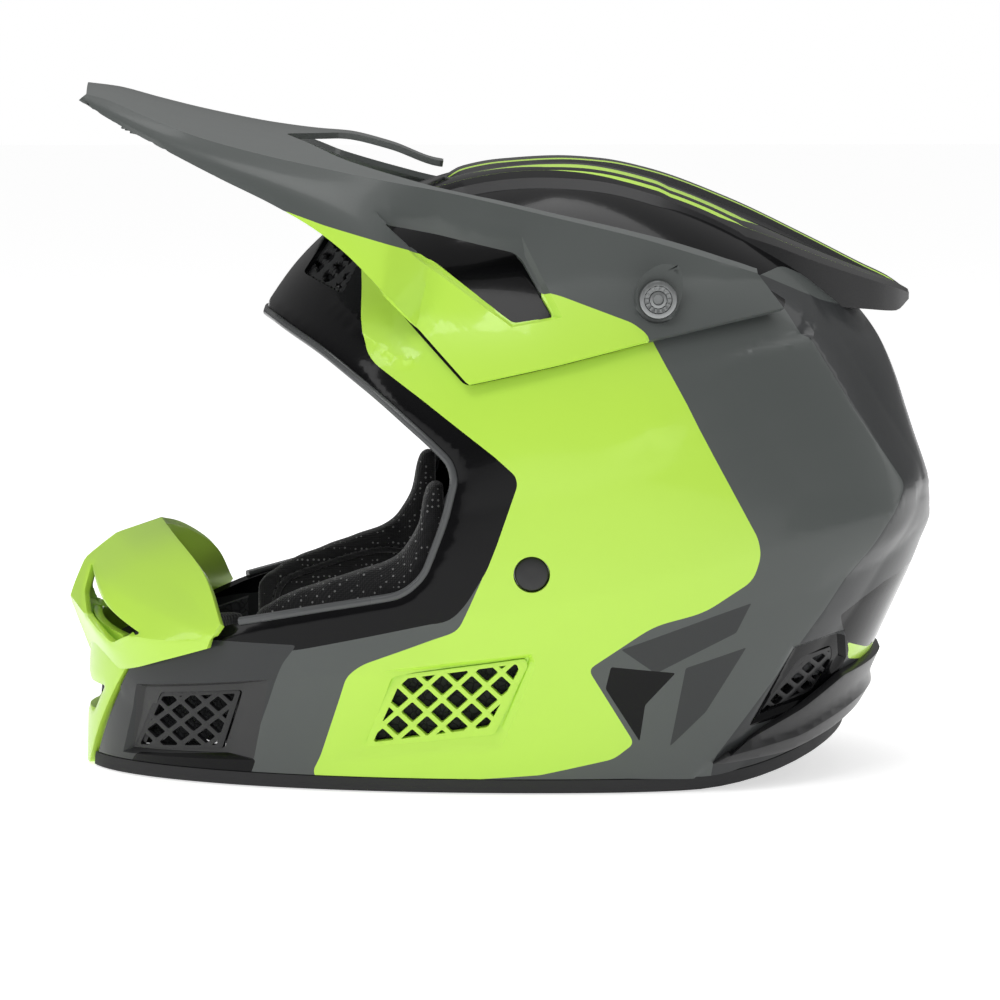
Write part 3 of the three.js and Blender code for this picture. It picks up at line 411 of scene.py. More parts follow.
def sheet_over(surface, spacing=2.8, keep=None, drop=(), shape=(), paint=(), both=True, calm=None):
    """Vertices, triangles and paint numbers of a surface cut along every outline.

    keep holds what stays, drop what goes (each an Outline, or a tuple of them that must all hold), shape what
    pushes it in and out, and paint (Outline, number) pairs, the last of which wins. Inside calm nothing is
    raised.
    """
    chains = []
    flat_drop = [o for entry in drop for o in (entry if isinstance(entry, tuple) else (entry,))]
    features = [*([keep] if keep else []), *flat_drop, *shape, *[outline for outline, _ in paint]]
    for feature in features:
        for line, closed in feature.lines:
            if feature.view == "sheet":
                uv, off = np.clip(line, (0, 0), surface.size), np.zeros(len(line), bool)
            else:
                uv, off = surface.find(line, feature.view)
            chains.append((uv, off, closed))
    verts, edges = [], []
    for uv, off, closed in chains:
        first = len(verts)
        verts.extend(uv)
        count = len(uv)
        for i in range(count if closed else count - 1):
            j = (i + 1) % count
            if not (off[i] and off[j]):
                edges.append((first + i, first + j))
    grid = lattice_points(surface, spacing)
    if verts:
        tree = kdtree.KDTree(len(verts))
        for i, (u, v) in enumerate(verts):
            tree.insert((u, v, 0), i)
        tree.balance()
        clear = np.array([tree.find((u, v, 0))[2] > spacing * 0.42 or u in (0, surface.size[0])
                          for u, v in grid])
        grid = grid[clear]
    verts.extend(grid)
    out = geometry.delaunay_2d_cdt([Vector(map(float, p)) for p in verts], edges, [], 0, 1e-3)
    uv = np.clip(np.array([tuple(p) for p in out[0]]), (0, 0), surface.size)
    faces = np.array([f for f in out[2] if len(f) == 3])
    base = surface.at(uv)
    middle, middle_uv = base[faces].mean(1), uv[faces].mean(1)
    stays = np.ones(len(faces), bool)
    if keep:
        stays &= keep.holds(middle, middle_uv)
    for entry in drop:
        gone = np.ones(len(faces), bool)
        for outline in entry if isinstance(entry, tuple) else (entry,):
            gone &= outline.holds(middle, middle_uv)
        stays &= ~gone
    number = np.zeros(len(faces), int)
    for outline, value in paint:
        number[outline.holds(middle, middle_uv)] = value
    faces, number = faces[stays], number[stays]
    normals = surface.normals(uv)
    shift = np.zeros(len(uv))
    for feature in shape:
        shift += feature.shift(base, normals)
    if calm:
        shift -= np.maximum(shift, 0) * calm.shift(base, normals)
    used = np.unique(faces)
    remap = np.full(len(uv), -1)
    remap[used] = np.arange(len(used))
    faces = remap[faces]
    place = (base + normals * shift[:, None])[used]
    if surface.outward < 0:
        faces = faces[:, ::-1]
    if both:
        faces = np.vstack([faces, faces[:, ::-1] + len(place)])
        place = np.vstack([place, place * (1, -1, 1)])
        number = np.concatenate([number, number])
    return place, faces, number


def new_object(name, mesh):
    obj = bpy.data.objects.new(name, mesh)
    bpy.context.scene.collection.objects.link(obj)
    return obj


def points_of(mesh):
    place = np.zeros(len(mesh.vertices) * 3, np.float32)
    mesh.vertices.foreach_get("co", place)
    return place.reshape(-1, 3).astype(float)


def put_points(mesh, place):
    mesh.vertices.foreach_set("co", np.asarray(place, np.float32).ravel())
    mesh.update()


WELD = 0.00003


def weld(mesh, distance=WELD):
    bm = bmesh.new()
    bm.from_mesh(mesh)
    bmesh.ops.remove_doubles(bm, verts=bm.verts, dist=distance)
    bmesh.ops.dissolve_degenerate(bm, edges=bm.edges, dist=distance / 3)
    bm.to_mesh(mesh)
    bm.free()


def piece(name, verts, faces, finishes, numbers=None, merge=0.03):
    """A new object from millimetre points."""
    mesh = bpy.data.meshes.new(name)
    mesh.from_pydata((np.asarray(verts, float) * MM).tolist(), [], [list(map(int, f)) for f in faces])
    for finish in finishes:
        mesh.materials.append(finish)
    if numbers is not None:
        mesh.polygons.foreach_set("material_index", np.asarray(numbers, np.int32))
    weld(mesh, merge * MM)
    obj = bpy.data.objects.new(name, mesh)
    bpy.context.scene.collection.objects.link(obj)
    return obj


def settle(obj, angle=34.0):
    """Turns live modifiers into mesh, and shades it smooth between sharp edges."""
    if obj.modifiers:
        evaluated = obj.evaluated_get(bpy.context.evaluated_depsgraph_get())
        mesh = bpy.data.meshes.new_from_object(evaluated)
        obj.modifiers.clear()
        old, obj.data = obj.data, mesh
        bpy.data.meshes.remove(old)
    obj.data.polygons.foreach_set("use_smooth", [True] * len(obj.data.polygons))
    obj.data.set_sharp_from_angle(angle=math.radians(angle))
    obj.data.update()
    return obj


def thicken(obj, wall):
    """Gives a sheet a wall on its back."""
    solid = obj.modifiers.new("wall", "SOLIDIFY")
    solid.thickness = wall * MM
    solid.offset = -1
    solid.use_even_offset = False
    return obj


def eased(obj, width=0.35, segments=2, angle=40.0):
    """Small rounded edges."""
    bevel = obj.modifiers.new("edges", "BEVEL")
    bevel.width = width * MM
    bevel.segments = segments
    bevel.limit_method = "ANGLE"
    bevel.angle_limit = math.radians(angle)
    bevel.use_clamp_overlap = True
    return obj


def tidy_normals(obj):
    bm = bmesh.new()
    bm.from_mesh(obj.data)
    bmesh.ops.recalc_face_normals(bm, faces=bm.faces)
    bm.to_mesh(obj.data)
    bm.free()
    return obj


def mirrored(obj, name):
    """A mirror image of a piece on the wearer's right."""
    twin = obj.copy()
    twin.data = obj.data.copy()
    twin.name = name
    bpy.context.scene.collection.objects.link(twin)
    bm = bmesh.new()
    bm.from_mesh(twin.data)
    for vert in bm.verts:
        vert.co.y = -vert.co.y
    bmesh.ops.reverse_faces(bm, faces=bm.faces)
    bm.to_mesh(twin.data)
    bm.free()
    return twin


# ---------------------------------------------------------------- finishes


class Finish:
    """A node material in the making."""

    def __init__(self, name):
        self.material = bpy.data.materials.new(name)
        self.material.use_nodes = True
        self.tree = self.material.node_tree
        self.tree.nodes.clear()
        self.shader = self.node("ShaderNodeBsdfPrincipled")
        out = self.node("ShaderNodeOutputMaterial")
        self.tree.links.new(self.shader.outputs["BSDF"], out.inputs["Surface"])
        self.place = self.node("ShaderNodeTexCoord").outputs["Object"]

    def node(self, kind, settings=None, **sockets):
        made = self.tree.nodes.new(kind)
        for name, value in (settings or {}).items():
            setattr(made, name, value)
        for name, value in sockets.items():
            self.put(made, name, value)
        return made

    def put(self, made, name, value):
        socket = made.inputs[int(name[1:])] if name[0] == "i" and name[1:].isdigit() else made.inputs[
            name.replace("_", " ")]
        if isinstance(value, bpy.types.NodeSocket):
            self.tree.links.new(value, socket)
        else:
            socket.default_value = value

    def set(self, **sockets):
        for name, value in sockets.items():
            self.put(self.shader, name, value)
        return self

    def noise(self, scale, detail=3.0, rough=0.5):
        return self.node("ShaderNodeTexNoise", Vector=self.place, Scale=scale, Detail=detail,
                         Roughness=rough).outputs["Fac"]

    def maths(self, operation, a, b=0.0, clamp=False):
        made = self.node("ShaderNodeMath", {"operation": operation, "use_clamp": clamp})
        self.put(made, "i0", a)
        self.put(made, "i1", b)
        return made.outputs[0]

    def between(self, share, low, high):
        made = self.node("ShaderNodeMapRange", Value=share)
        made.inputs["To Min"].default_value = low
        made.inputs["To Max"].default_value = high
        return made.outputs["Result"]

    def blend(self, share, first, second):
        made = self.node("ShaderNodeMix", {"data_type": "RGBA"})
        self.put(made, "i0", share)
        self.put(made, "i6", first)
        self.put(made, "i7", second)
        return made.outputs[2]

    def bump(self, height_socket, strength, distance):
        made = self.node("ShaderNodeBump", Strength=strength, Distance=distance, Height=height_socket)
        self.set(Normal=made.outputs["Normal"])
        return self


def rgba(color, scale=1.0):
    return (color[0] * scale, color[1] * scale, color[2] * scale, 1.0)


def paint_finish(name, color, rough, coat, coat_rough, flake=0.0, variation=0.05, shine=0.4):
    """Sprayed paint under clear lacquer: faint orange peel, slight colour drift, fine flake."""
    f = Finish(name)
    drift = f.noise(9.0, 2.0)
    grain = f.noise(2600.0, 1.0)
    tone = f.blend(drift, rgba(color, 1 - variation), rgba(color, 1 + variation))
    if flake:
        tone = f.blend(f.maths("MULTIPLY", grain, flake), tone, rgba(color, 1.6))
    f.set(Base_Color=tone, Roughness=f.between(f.noise(60.0), rough - 0.03, rough + 0.04))
    f.set(Coat_Weight=coat, Coat_Roughness=coat_rough, Coat_IOR=1.5, Specular_IOR_Level=shine)
    f.bump(f.noise(420.0, 2.0), 0.035, 0.0004)
    return f.material


def plastic_finish(name, color, rough, grain_scale=1500.0, grain=0.12, variation=0.12):
    """Moulded plastic with a fine grain and slightly worn patches."""
    f = Finish(name)
    patches = f.noise(25.0, 4.0)
    f.set(Base_Color=f.blend(patches, rgba(color, 1 - variation), rgba(color, 1 + variation)))
    f.set(Roughness=f.between(patches, rough - 0.06, rough + 0.08), Specular_IOR_Level=0.45)
    cells = f.node("ShaderNodeTexVoronoi", {"feature": "F1"}, Vector=f.place, Scale=grain_scale)
    f.bump(cells.outputs["Distance"], grain, 0.0003)
    return f.material


def rubber_finish(name, color):
    f = Finish(name)
    dust = f.noise(70.0, 5.0, 0.6)
    f.set(Base_Color=f.blend(f.maths("MULTIPLY", dust, 0.5), rgba(color), rgba(color, 1.9)))
    f.set(Roughness=f.between(dust, 0.55, 0.8), Specular_IOR_Level=0.35)
    f.bump(f.noise(1400.0, 3.0), 0.25, 0.0003)
    return f.material


def foam_finish(name, color):
    """Expanded foam: fused beads with dark joints."""
    f = Finish(name)
    beads = f.node("ShaderNodeTexVoronoi", {"feature": "DISTANCE_TO_EDGE"}, Vector=f.place, Scale=330.0)
    rim = f.maths("MULTIPLY", beads.outputs["Distance"], 9.0, True)
    f.set(Base_Color=f.blend(rim, rgba(color, 0.45), rgba(color)), Roughness=0.85, Specular_IOR_Level=0.2)
    f.bump(rim, 0.5, 0.0006)
    return f.material


def knit_finish(name, color, speck=0.0, scale=1.0):
    """Brushed or open knit: crossing yarns, and small pale pores where speck is above 0."""
    f = Finish(name)
    waves = []
    for direction in ("X", "Y", "Z"):
        wave = f.node("ShaderNodeTexWave", {"bands_direction": direction, "wave_profile": "SIN"},
                      Vector=f.place, Scale=260.0 * scale, Distortion=0.6, Detail=1.0)
        waves.append(wave.outputs["Fac"])
    weave = f.maths("MULTIPLY", f.maths("ADD", f.maths("ADD", waves[0], waves[1]), waves[2]), 0.33)
    fuzz = f.noise(900.0, 3.0, 0.7)
    tone = f.blend(weave, rgba(color, 0.55), rgba(color, 1.35))
    if speck:
        pores = f.node("ShaderNodeTexVoronoi", {"feature": "F1"}, Vector=f.place, Scale=430.0)
        pores.inputs["Randomness"].default_value = 0.25
        dot = f.maths("LESS_THAN", pores.outputs["Distance"], 0.2)
        tone = f.blend(f.maths("MULTIPLY", dot, speck), tone, (0.42, 0.42, 0.42, 1))
    f.set(Base_Color=tone, Roughness=f.between(fuzz, 0.8, 0.98), Specular_IOR_Level=0.2)
    f.set(Sheen_Weight=0.35, Sheen_Roughness=0.5)
    f.bump(f.maths("ADD", weave, f.maths("MULTIPLY", fuzz, 0.6)), 0.55, 0.0005)
    return f.material


def webbing_finish(name, color):
    f = Finish(name)
    ribs = f.node("ShaderNodeTexWave", {"bands_direction": "X", "wave_profile": "SIN"}, Vector=f.place,
                  Scale=210.0).outputs["Fac"]
    cross = f.node("ShaderNodeTexWave", {"bands_direction": "Y", "wave_profile": "TRI"}, Vector=f.place,
                   Scale=330.0, Distortion=0.3).outputs["Fac"]
    weave = f.maths("MULTIPLY", ribs, f.maths("ADD", cross, 0.4))
    f.set(Base_Color=f.blend(weave, rgba(color, 0.5), rgba(color, 1.5)), Roughness=0.72)
    f.set(Specular_IOR_Level=0.3, Sheen_Weight=0.25, Sheen_Roughness=0.4)
    f.bump(weave, 0.6, 0.0006)
    return f.material


def steel_finish(name, color=(0.56, 0.57, 0.58), rough=0.28):
    f = Finish(name)
    brush = f.node("ShaderNodeMapping", Vector=f.place)
    brush.inputs["Scale"].default_value = (900, 60, 60)
    streak = f.node("ShaderNodeTexNoise", Vector=brush.outputs["Vector"], Scale=1.0,
                    Detail=4.0).outputs["Fac"]
    f.set(Base_Color=f.blend(streak, rgba(color, 0.82), rgba(color, 1.1)), Metallic=1.0)
    f.set(Roughness=f.between(streak, rough - 0.06, rough + 0.12))
    f.bump(streak, 0.12, 0.0002)
    return f.material


FINISHES = {}


def settings():
    return bpy.context.scene.helmet_settings


def finish(name):
    return FINISHES[name]


class HelmetSettings(bpy.types.PropertyGroup):
    """Sizes and colours of the helmet"""

    lime: FloatVectorProperty(name="Lime paint", description="Colour of the bright panels", subtype="COLOR",
                              default=(0.50, 0.80, 0.075), min=0, max=1)
    side_grey: FloatVectorProperty(name="Side grey", description="Colour of the satin side panels",
                                   subtype="COLOR", default=(0.075, 0.083, 0.080), min=0, max=1)
    dark_grey: FloatVectorProperty(name="Dark grey", description="Colour of the chin and rear panels",
                                   subtype="COLOR", default=(0.032, 0.034, 0.035), min=0, max=1)
    gloss_black: FloatVectorProperty(name="Gloss black", description="Colour of the black lacquer",
                                     subtype="COLOR", default=(0.004, 0.004, 0.0045), min=0, max=1)
    fabric: FloatVectorProperty(name="Lining", description="Colour of the soft lining", subtype="COLOR",
                                default=(0.014, 0.014, 0.015), min=0, max=1)
    mesh_spacing: FloatProperty(name="Mesh spacing",
                                description="Distance between points on the painted shell",
                                unit="LENGTH", default=0.0029, min=0.002, max=0.01)
    shell_wall: FloatProperty(name="Shell wall", description="Thickness of the shell", unit="LENGTH",
                              default=0.003, min=0.001, max=0.005)
    visor_wall: FloatProperty(name="Visor wall", description="Thickness of the visor", unit="LENGTH",
                              default=0.0025, min=0.001, max=0.004)
    lattice_bar: FloatProperty(name="Lattice bar", description="Width of the bars in the vents",
                               unit="LENGTH",
                               default=0.0021, min=0.001, max=0.004)
    stitch_pitch: FloatProperty(name="Stitch pitch", description="Distance between stitches", unit="LENGTH",
                                default=0.0036, min=0.002, max=0.01)
    piping_radius: FloatProperty(name="Piping radius", description="Radius of the cords sewn into seams",
                                 unit="LENGTH", default=0.0012, min=0.0005, max=0.003)
    soft_frames: IntProperty(name="Cloth frames", description="Length of each cloth simulation", default=16,
                             min=4, max=30)


# ---------------------------------------------------------------- outlines in side view, and wall thicknesses

EYEPORT = [(-FAR, 192), (-98.2, 190.3, 3), (-74.3, 176.9, 8), (-52.1, 160.2, 8), (-31.3, 142.1, 5),
           (-23.9, 134.8, 3), (-21.9, 128, 3), (-25.9, 111, 8), (-34.2, 88.9, 5), (-42.8, 81.4, 5),
           (-75.4, 75.1, 8), (-107.6, 68.2, 8), (-130, 60), (-FAR, 58)]
SIDE_VENT = [(-46.8, 48.4), (5.9, 56.2), (7, 53.5), (-6, 24.8), (-57.8, 18.5)]
FRONT_VENT = [(-142, 35.8), (-107.6, 39.6), (-115.7, 14.1), (-152.1, 11.1)]
REAR_VENT = [(117.5, 52.7), (133, 56), (134, 50), (125.5, 37), (101.1, 30.7)]
BROW_VENT = [(-82, 206), (-66, 199), (-58, 214), (-72, 221)]
NOSE_GUARD_WALL = 2.6
MOUTHPIECE_WALL = 3.8
BASE_TRIM_WALL = 5.0
DEFLECTOR_WALL = 3.4
LATTICE_WALL = 2.2
SCREEN_WALL = 1.8
PLUG = (8.3, 90.9)
PIVOT = (58.3, 198.9)
SEAT_RADIUS = 9.4
SEAT_Y = float(side_y(PIVOT[0], PIVOT[1] - SEAT_RADIUS)) + 3
RIDGE = [(100, 208), (110.8, 194.3), (135.5, 154.9), (157.9, 120.8), (153.5, 111.8),
         (119.4, 66.4), (81.4, 14.8)]


def grown(points, gap):
    """Every corner of a convex outline moved away from its middle (or towards it)."""
    middle = np.mean([p[:2] for p in points], axis=0)
    out = []
    for p in points:
        away = np.array(p[:2], float) - middle
        reach = np.linalg.norm(away)
        out.append(tuple(middle + away * (reach + 1.5 * gap) / reach))
    return out


def below_base():
    """Everything lower than the shell's bottom edge."""
    line = [(x, float(base_z(x))) for x in (-FAR, *np.linspace(-200, 200, 60), FAR)]
    line += [(FAR, -60), (-FAR, -60)]
    return Outline(line, radius=0.0)


class HelmetOperator:
    bl_options = {"REGISTER", "UNDO"}

    def execute(self, context):
        self.build(context)
        return {"FINISHED"}


# ---------------------------------------------------------------- operators


class HELMET_OT_finishes(HelmetOperator, bpy.types.Operator):
    """Mixes every finish used on the helmet"""

    bl_idname = "helmet.finishes"
    bl_label = "Finishes"

    def build(self, context):
        chosen = settings()
        FINISHES.update({
            "lime": paint_finish("lime_paint", chosen.lime, 0.34, 0.4, 0.06, 0.0, 0.03),
            "side_grey": paint_finish("side_grey_paint", chosen.side_grey, 0.40, 0.2, 0.12, 0.15, 0.05, 0.3),
            "dark_grey": paint_finish("dark_grey_paint", chosen.dark_grey, 0.30, 0.2, 0.08, 0.15, 0.05, 0.2),
            "chin_grey": paint_finish("chin_grey_paint", tuple(c * 1.05 for c in chosen.dark_grey),
                                      0.3, 0.2, 0.05, 0.1, 0.05, 0.2),
            "top_grey": paint_finish("visor_top_paint", tuple(c * 1.15 for c in chosen.side_grey), 0.36, 0.4,
                                     0.1, 0.15),
            "black": paint_finish("gloss_black_paint", chosen.gloss_black, 0.14, 0.1, 0.02, 0.0, 0.0, 0.12),
            "plastic": plastic_finish("black_plastic", (0.012, 0.012, 0.013), 0.42),
            "satin": plastic_finish("satin_black_plastic", (0.02, 0.02, 0.021), 0.3, 2200.0, 0.05),
            "rim": plastic_finish("rim_plastic", (0.075, 0.078, 0.08), 0.26, 1800.0, 0.04),
            "rubber": rubber_finish("rubber", (0.016, 0.016, 0.017)),
            "foam": foam_finish("expanded_foam", (0.03, 0.031, 0.033)),
            "knit": knit_finish("brushed_knit", chosen.fabric),
            "open_knit": knit_finish("perforated_knit", chosen.fabric, 0.5, 1.6),
            "webbing": webbing_finish("strap_webbing", (0.012, 0.012, 0.013)),
            "thread": knit_finish("sewing_thread", (0.05, 0.05, 0.052), 0.0, 2.0),
            "red": webbing_finish("red_tape", (0.42, 0.02, 0.015)),
            "steel": steel_finish("brushed_steel"),
            "screw": steel_finish("screw_alloy", (0.30, 0.31, 0.31), 0.34),
        })


def dress(node, *names):
    """Gives a CAD node its finish."""
    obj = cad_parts[node]
    obj.data.materials.clear()
    for name in names:
        obj.data.materials.append(finish(name))
    return obj


class HELMET_OT_shell(HelmetOperator, bpy.types.Operator):
    """Builds the painted outer shell with its vents, creases and panels"""

    bl_idname = "helmet.shell"
    bl_label = "Painted shell"

    def build(self, context):
        chosen = settings()
        black_edge = [(-58.3, 208.6, 1), (-58.1, 190.3), (-56.3, 174.9, 6), (-34.9, 159.3), (-6.5, 137.4),
                      (1.8, 129.9, 5), (2.6, 126.1, 3), (-5.7, 101.7)]
        black = Outline([(-58.3, FAR, 1), *black_edge, (-9.4, 92.2, 2), (-17.7, 78.3, 4), (-23.7, 72, 5),
                         (-82.2, 58.5), (-107.7, 54), (-157.4, 45.9), (-FAR, 46), (-FAR, FAR)])
        lime = Outline([(-58.3, 222, 1), *black_edge, (-16.9, 75.9, 2), (-20.7, 67.7, 4), (-58.6, 53.1, 4),
                        (-64.7, 48.2, 5), (-75.5, 14.1, 2), (-78.6, 7.5, 4), (-76.3, 3.1, 2), (-31, 4.5, 2),
                        (12.4, 7.8), (41.9, 14.5, 3), (50, 21, 3), (31, 52, 3), (57, 69.5, 6),
                        (77.3, 74.6, 6), (96.4, 87.1, 5), (99.1, 96.6, 3), (98.1, 103.7, 3), (72.7, 151.5),
                        (56.3, 182.4), (50, 200), (40, 208)])
        chin = Outline([(-84.7, 60), (-89.9, 52.8, 3), (-91.5, 49.4, 3), (-99, 28.2), (-106.1, 6.6),
                        (-109, -4), (-FAR, -4), (-FAR, 60)])
        under_vent = Outline([(-151, 9.5), (-113, 12.5), (-101.5, 11.5), (-105.5, 0), (-148, -2), (-155, 3)])
        # Black paint under the visor wing, partly painted shade: its lower edge runs about 1 mm past the
        # wing's edge as a painted shadow of the seam gap, and its black also stands for the shade in the gap
        # seen through the visor's window.
        under_wing_paint_and_seam_shade = Outline([(-58, 240), (-58.5, 217), (-51, 201.5), (-37, 186), (-17.5, 164.7, 3),
                              (19, 172.9), (55, 181.9), (87, 188.9), (110.6, 193.2), (112, 197),
                              (60, 230), (20, 240)], radius=1.0)
        crown = Outline([(-60, 228), (-20, 219), (19, 212), (52, 205), (87, 200), (99, 206), (112, 210),
                         (135, 200),
                         (150, 190), (170, 190), (170, 300), (-60, 300)], radius=3.0)
        behind = Outline([*RIDGE, (81, -4), (FAR, -4), (FAR, 190), (150, 190), (128, 196)], radius=3.0)
        shard_dark = Outline([(44, 60), (96, 78), (90, 66), (58, 50)], radius=1.0)
        shard_black = Outline([(40, 53), (66, 50), (54, 37), (52, 22), (38, 44)], radius=1.0)
        shard_slim = Outline([(70, 52), (94, 60), (78, 34), (64, 20)], radius=1.0)
        band = Outline([(134, 70), (155, 81), (190, 92), (190, 58), (150, 52), (139, 57)], radius=1.5)
        low_patch = Outline([(139, 56.5), (150, 57), (190, 74), (190, 40), (152, 46), (140, 49.5)],
                            radius=1.0)
        rear_frame = Outline(grown(REAR_VENT, 4.5), radius=2.0)
        front_frame = Outline([(-150, 38.5), (-96, 45.5), (-102.5, 11.0), (-155, 8.6)], radius=1.5)
        vents = [Outline(SIDE_VENT), Outline(FRONT_VENT), Outline(REAR_VENT)]
        ring = np.linspace(0, 2 * math.pi, 29)[:-1]
        plug = Outline([(PLUG[0] + 7.2 * math.cos(a), PLUG[1] + 7.2 * math.sin(a)) for a in ring], radius=0)
        mouth = Outline([(-6, -5), (13, -5), (48.5, 46), (48.5, 75), (-6, 75)], "front", 1.0)
        brow = Outline(BROW_VENT, radius=1.5)
        shape = [
            Pocket([(-50, 51, 2.0), (8.5, 58.6, 2.0), (10, 54, 3.0), (-3, 19.5, 7.0), (-72, 12.5, 11.0)],
                   -2.4),
            Pocket([(-150, 38.5, 1.5), (-94.4, 45.5, 12.0), (-102.5, 11.0, 2.0), (-157, 8.6, 2.0)], -2.8),
            Pocket([(112, 60, 2.0), (137, 63, 2.0), (139, 50, 2.0), (127, 33, 2.0), (96, 27.5, 3.0)], -2.0),
            Crease(EYEPORT, -1.6, 3.6, 3.6, closed=True),
            Crease(RIDGE[1:], 3.2, 14.0, 34.0),
            Crease([(-12.1, 74), (40.8, 84.1), (97.7, 98.9), (150, 112)], 1.9, 42.0, 22.0),
            Crease([(-149.3, 36.2), (-93.2, 44.8), (-65.5, 48.9), (-46.8, 48.7)], 1.0, 22.0, 9.0),
            Crease([(-27.5, 177.9), (-33.4, 175.9), (-42.1, 173.3), (-60, 186)], 1.4, 2.2, 16.0),
            Crease([(60, 150), (96, 178), (108, 197)], 0.9, 26.0, 10.0),
            Crease([(132, 86), (158, 92), (182, 110)], -1.0, 9.0, 14.0),
        ]
        verts, faces, numbers = sheet_over(
            ShellForm(), chosen.mesh_spacing / MM,
            drop=[Outline(EYEPORT), *vents, plug, mouth, brow, below_base()],
            shape=shape,
            calm=Pocket([(-68, 234, 3), (-46, 182, 3), (-20, 153, 3), (121, 181, 3), (128, 222, 3),
                         (30, 262, 3)], 1.0),
            paint=[(behind, 3), (lime, 1), (crown, 2), (under_wing_paint_and_seam_shade, 2), (black, 2), (chin, 4),
                   (front_frame, 5), (under_vent, 2), (shard_dark, 3), (shard_black, 2), (shard_slim, 3),
                   (low_patch, 1), (band, 2), (rear_frame, 2)])
        shell = piece("outer_shell_painted", verts, faces,
                      [finish(n) for n in ("side_grey", "lime", "black", "dark_grey", "chin_grey", "satin")],
                      numbers)
        settle(thicken(shell, chosen.shell_wall / MM))
        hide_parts("outer_shell")
        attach(shell, "helmet")


def half_diamonds(box, pitch, gap):
    """Diamond outlines in staggered rows over a box (a0, b0, a1, b1)."""
    a0, b0, a1, b1 = box
    found = []
    row = 0
    b = b0
    while b <= b1 + 0.1:
        a = a0 + (pitch[0] / 2 if row % 2 else 0)
        while a <= a1 + 0.1:
            wide, tall = pitch[0] / 2 - gap, pitch[1] / 2 - gap
            found.append([(a - wide, b), (a, b + tall), (a + wide, b), (a, b - tall)])
            a += pitch[0]
        b += pitch[1] / 2
        row += 1
    return found


def lattice(outline_points, pitch, border, offset, start, view="side", both=False, keep_radius=1.5):
    """A vent panel with diamond openings inside a plain border."""
    bar = settings().lattice_bar / MM
    line = np.array([p[:2] for p in outline_points])
    low, high = line.min(0), line.max(0)
    inner = Outline(grown(outline_points, -border), view, 1.0)
    box = (start[0] - 12 * pitch[0], start[1] - 8 * pitch[1], high[0] + pitch[0], high[1] + pitch[1])
    holes = []
    for diamond in half_diamonds(box, pitch, bar * 0.62):
        middle = np.mean(diamond, axis=0)
        if np.all(middle > low - pitch) and np.all(middle < high + pitch):
            holes.append((inner, Outline(diamond, view, 0.8, 2.0)))
    verts, faces, _ = sheet_over(ShellForm(offset), 2.6,
                                 keep=Outline(grown(outline_points, 0.1), view, keep_radius),
                                 drop=holes, both=both)
    return verts, faces


class HELMET_OT_vents(HelmetOperator, bpy.types.Operator):
    """Builds the diamond lattices in the side, front, rear and brow vents and in the mouthpiece"""

    bl_idname = "helmet.vents"
    bl_label = "Vent lattices"

    def build(self, context):
        plans = [("side", SIDE_VENT, (11.8, 11.3), 2.6, -1.6, "lime", (-50.5, 33.6), "lime_plastic"),
                 ("front", FRONT_VENT, (10.4, 9.2), 1.8, -2.6, "plastic", (-148, 24.0), "black_plastic"),
                 ("rear", REAR_VENT, (9.0, 8.0), 1.6, -2.2, "plastic", (104, 40.0), "black_plastic"),
                 ("brow", BROW_VENT, (8.4, 8.0), 1.4, -1.6, "plastic", (-80, 205), "black_plastic")]
        for part, outline_points, pitch, border, offset, look, start, slot in plans:
            node = part + "_grille"
            verts, faces = lattice(outline_points, pitch, border, offset, start)
            left = piece(node + "_lattice_left", verts, faces, [finish(look)])
            settle(eased(thicken(left, LATTICE_WALL), 0.3), 30)
            right = mirrored(left, node + "_lattice_right")
            for obj, side in ((left, "left"), (right, "right")):
                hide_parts(f"{node}_{side}")
                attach(obj, "helmet")
        verts, faces = lattice([(-30, 21), (25, 21), (36, 38), (-30, 38)], (8.6, 8.0), 1.2, -3.8, (0, 29.5),
                               "front", True, 1.0)
        screen = piece("mouth_grille_lattice", verts, faces, [finish("plastic")])
        settle(eased(thicken(screen, SCREEN_WALL), 0.25), 30)
        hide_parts("mouth_grille")
        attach(screen, "helmet")


# ---------------------------------------------------------------- visor


VISOR_CREASE = [(-170, 38, 279), (-162, 44, 277), (-140, 62, 268), (-123, 74, 262), (-94, 88, 254.5),
                (-75, 94, 250.5), (-63, 97, 248), (-45, 99.5, 244.5), (-26, 100.5, 241), (-8, 101, 237),
                (19, 99, 230.5), (52, 98, 222.5), (87, 93.5, 212), (100, 89.5, 208)]
VISOR_LOWER = [(-173, 40, 276.5), (-160, 54, 269), (-135, 74, 256), (-115, 85.5, 246), (-94, 96, 236),
               (-78, 103, 227), (-66, 108, 218), (-50, 113, 202), (-36, 0, 187), (-17, 0, 166), (19, 0, 174),
               (55, 0, 183), (87, 0, 190), (110, 0, 194.5)]
VISOR_SPINE = [(-171, 283.5), (-159, 282), (-140, 277), (-123, 272.8), (-94, 267), (-75, 264.5),
               (-63, 263.5), (-45, 259), (-26, 252), (-8, 250), (19, 250), (52, 246), (87, 236), (100, 230)]
WING_START = 8
WING_OUT = 4.2
VISOR_TILT = (-3.0, 5.0)
STATION = 14.0
FOLD = 40.0
TOP_SPAN = 60.0
VISOR_EDGE = np.array(VISOR_LOWER, float)
VISOR_EDGE[WING_START:, 1] = side_y(VISOR_EDGE[WING_START:, 0], VISOR_EDGE[WING_START:, 2]) + WING_OUT
VISOR_LINE = Through([(i, *crease, *edge, *spine)
                      for i, (crease, edge, spine) in enumerate(zip(VISOR_CREASE, VISOR_EDGE, VISOR_SPINE))])


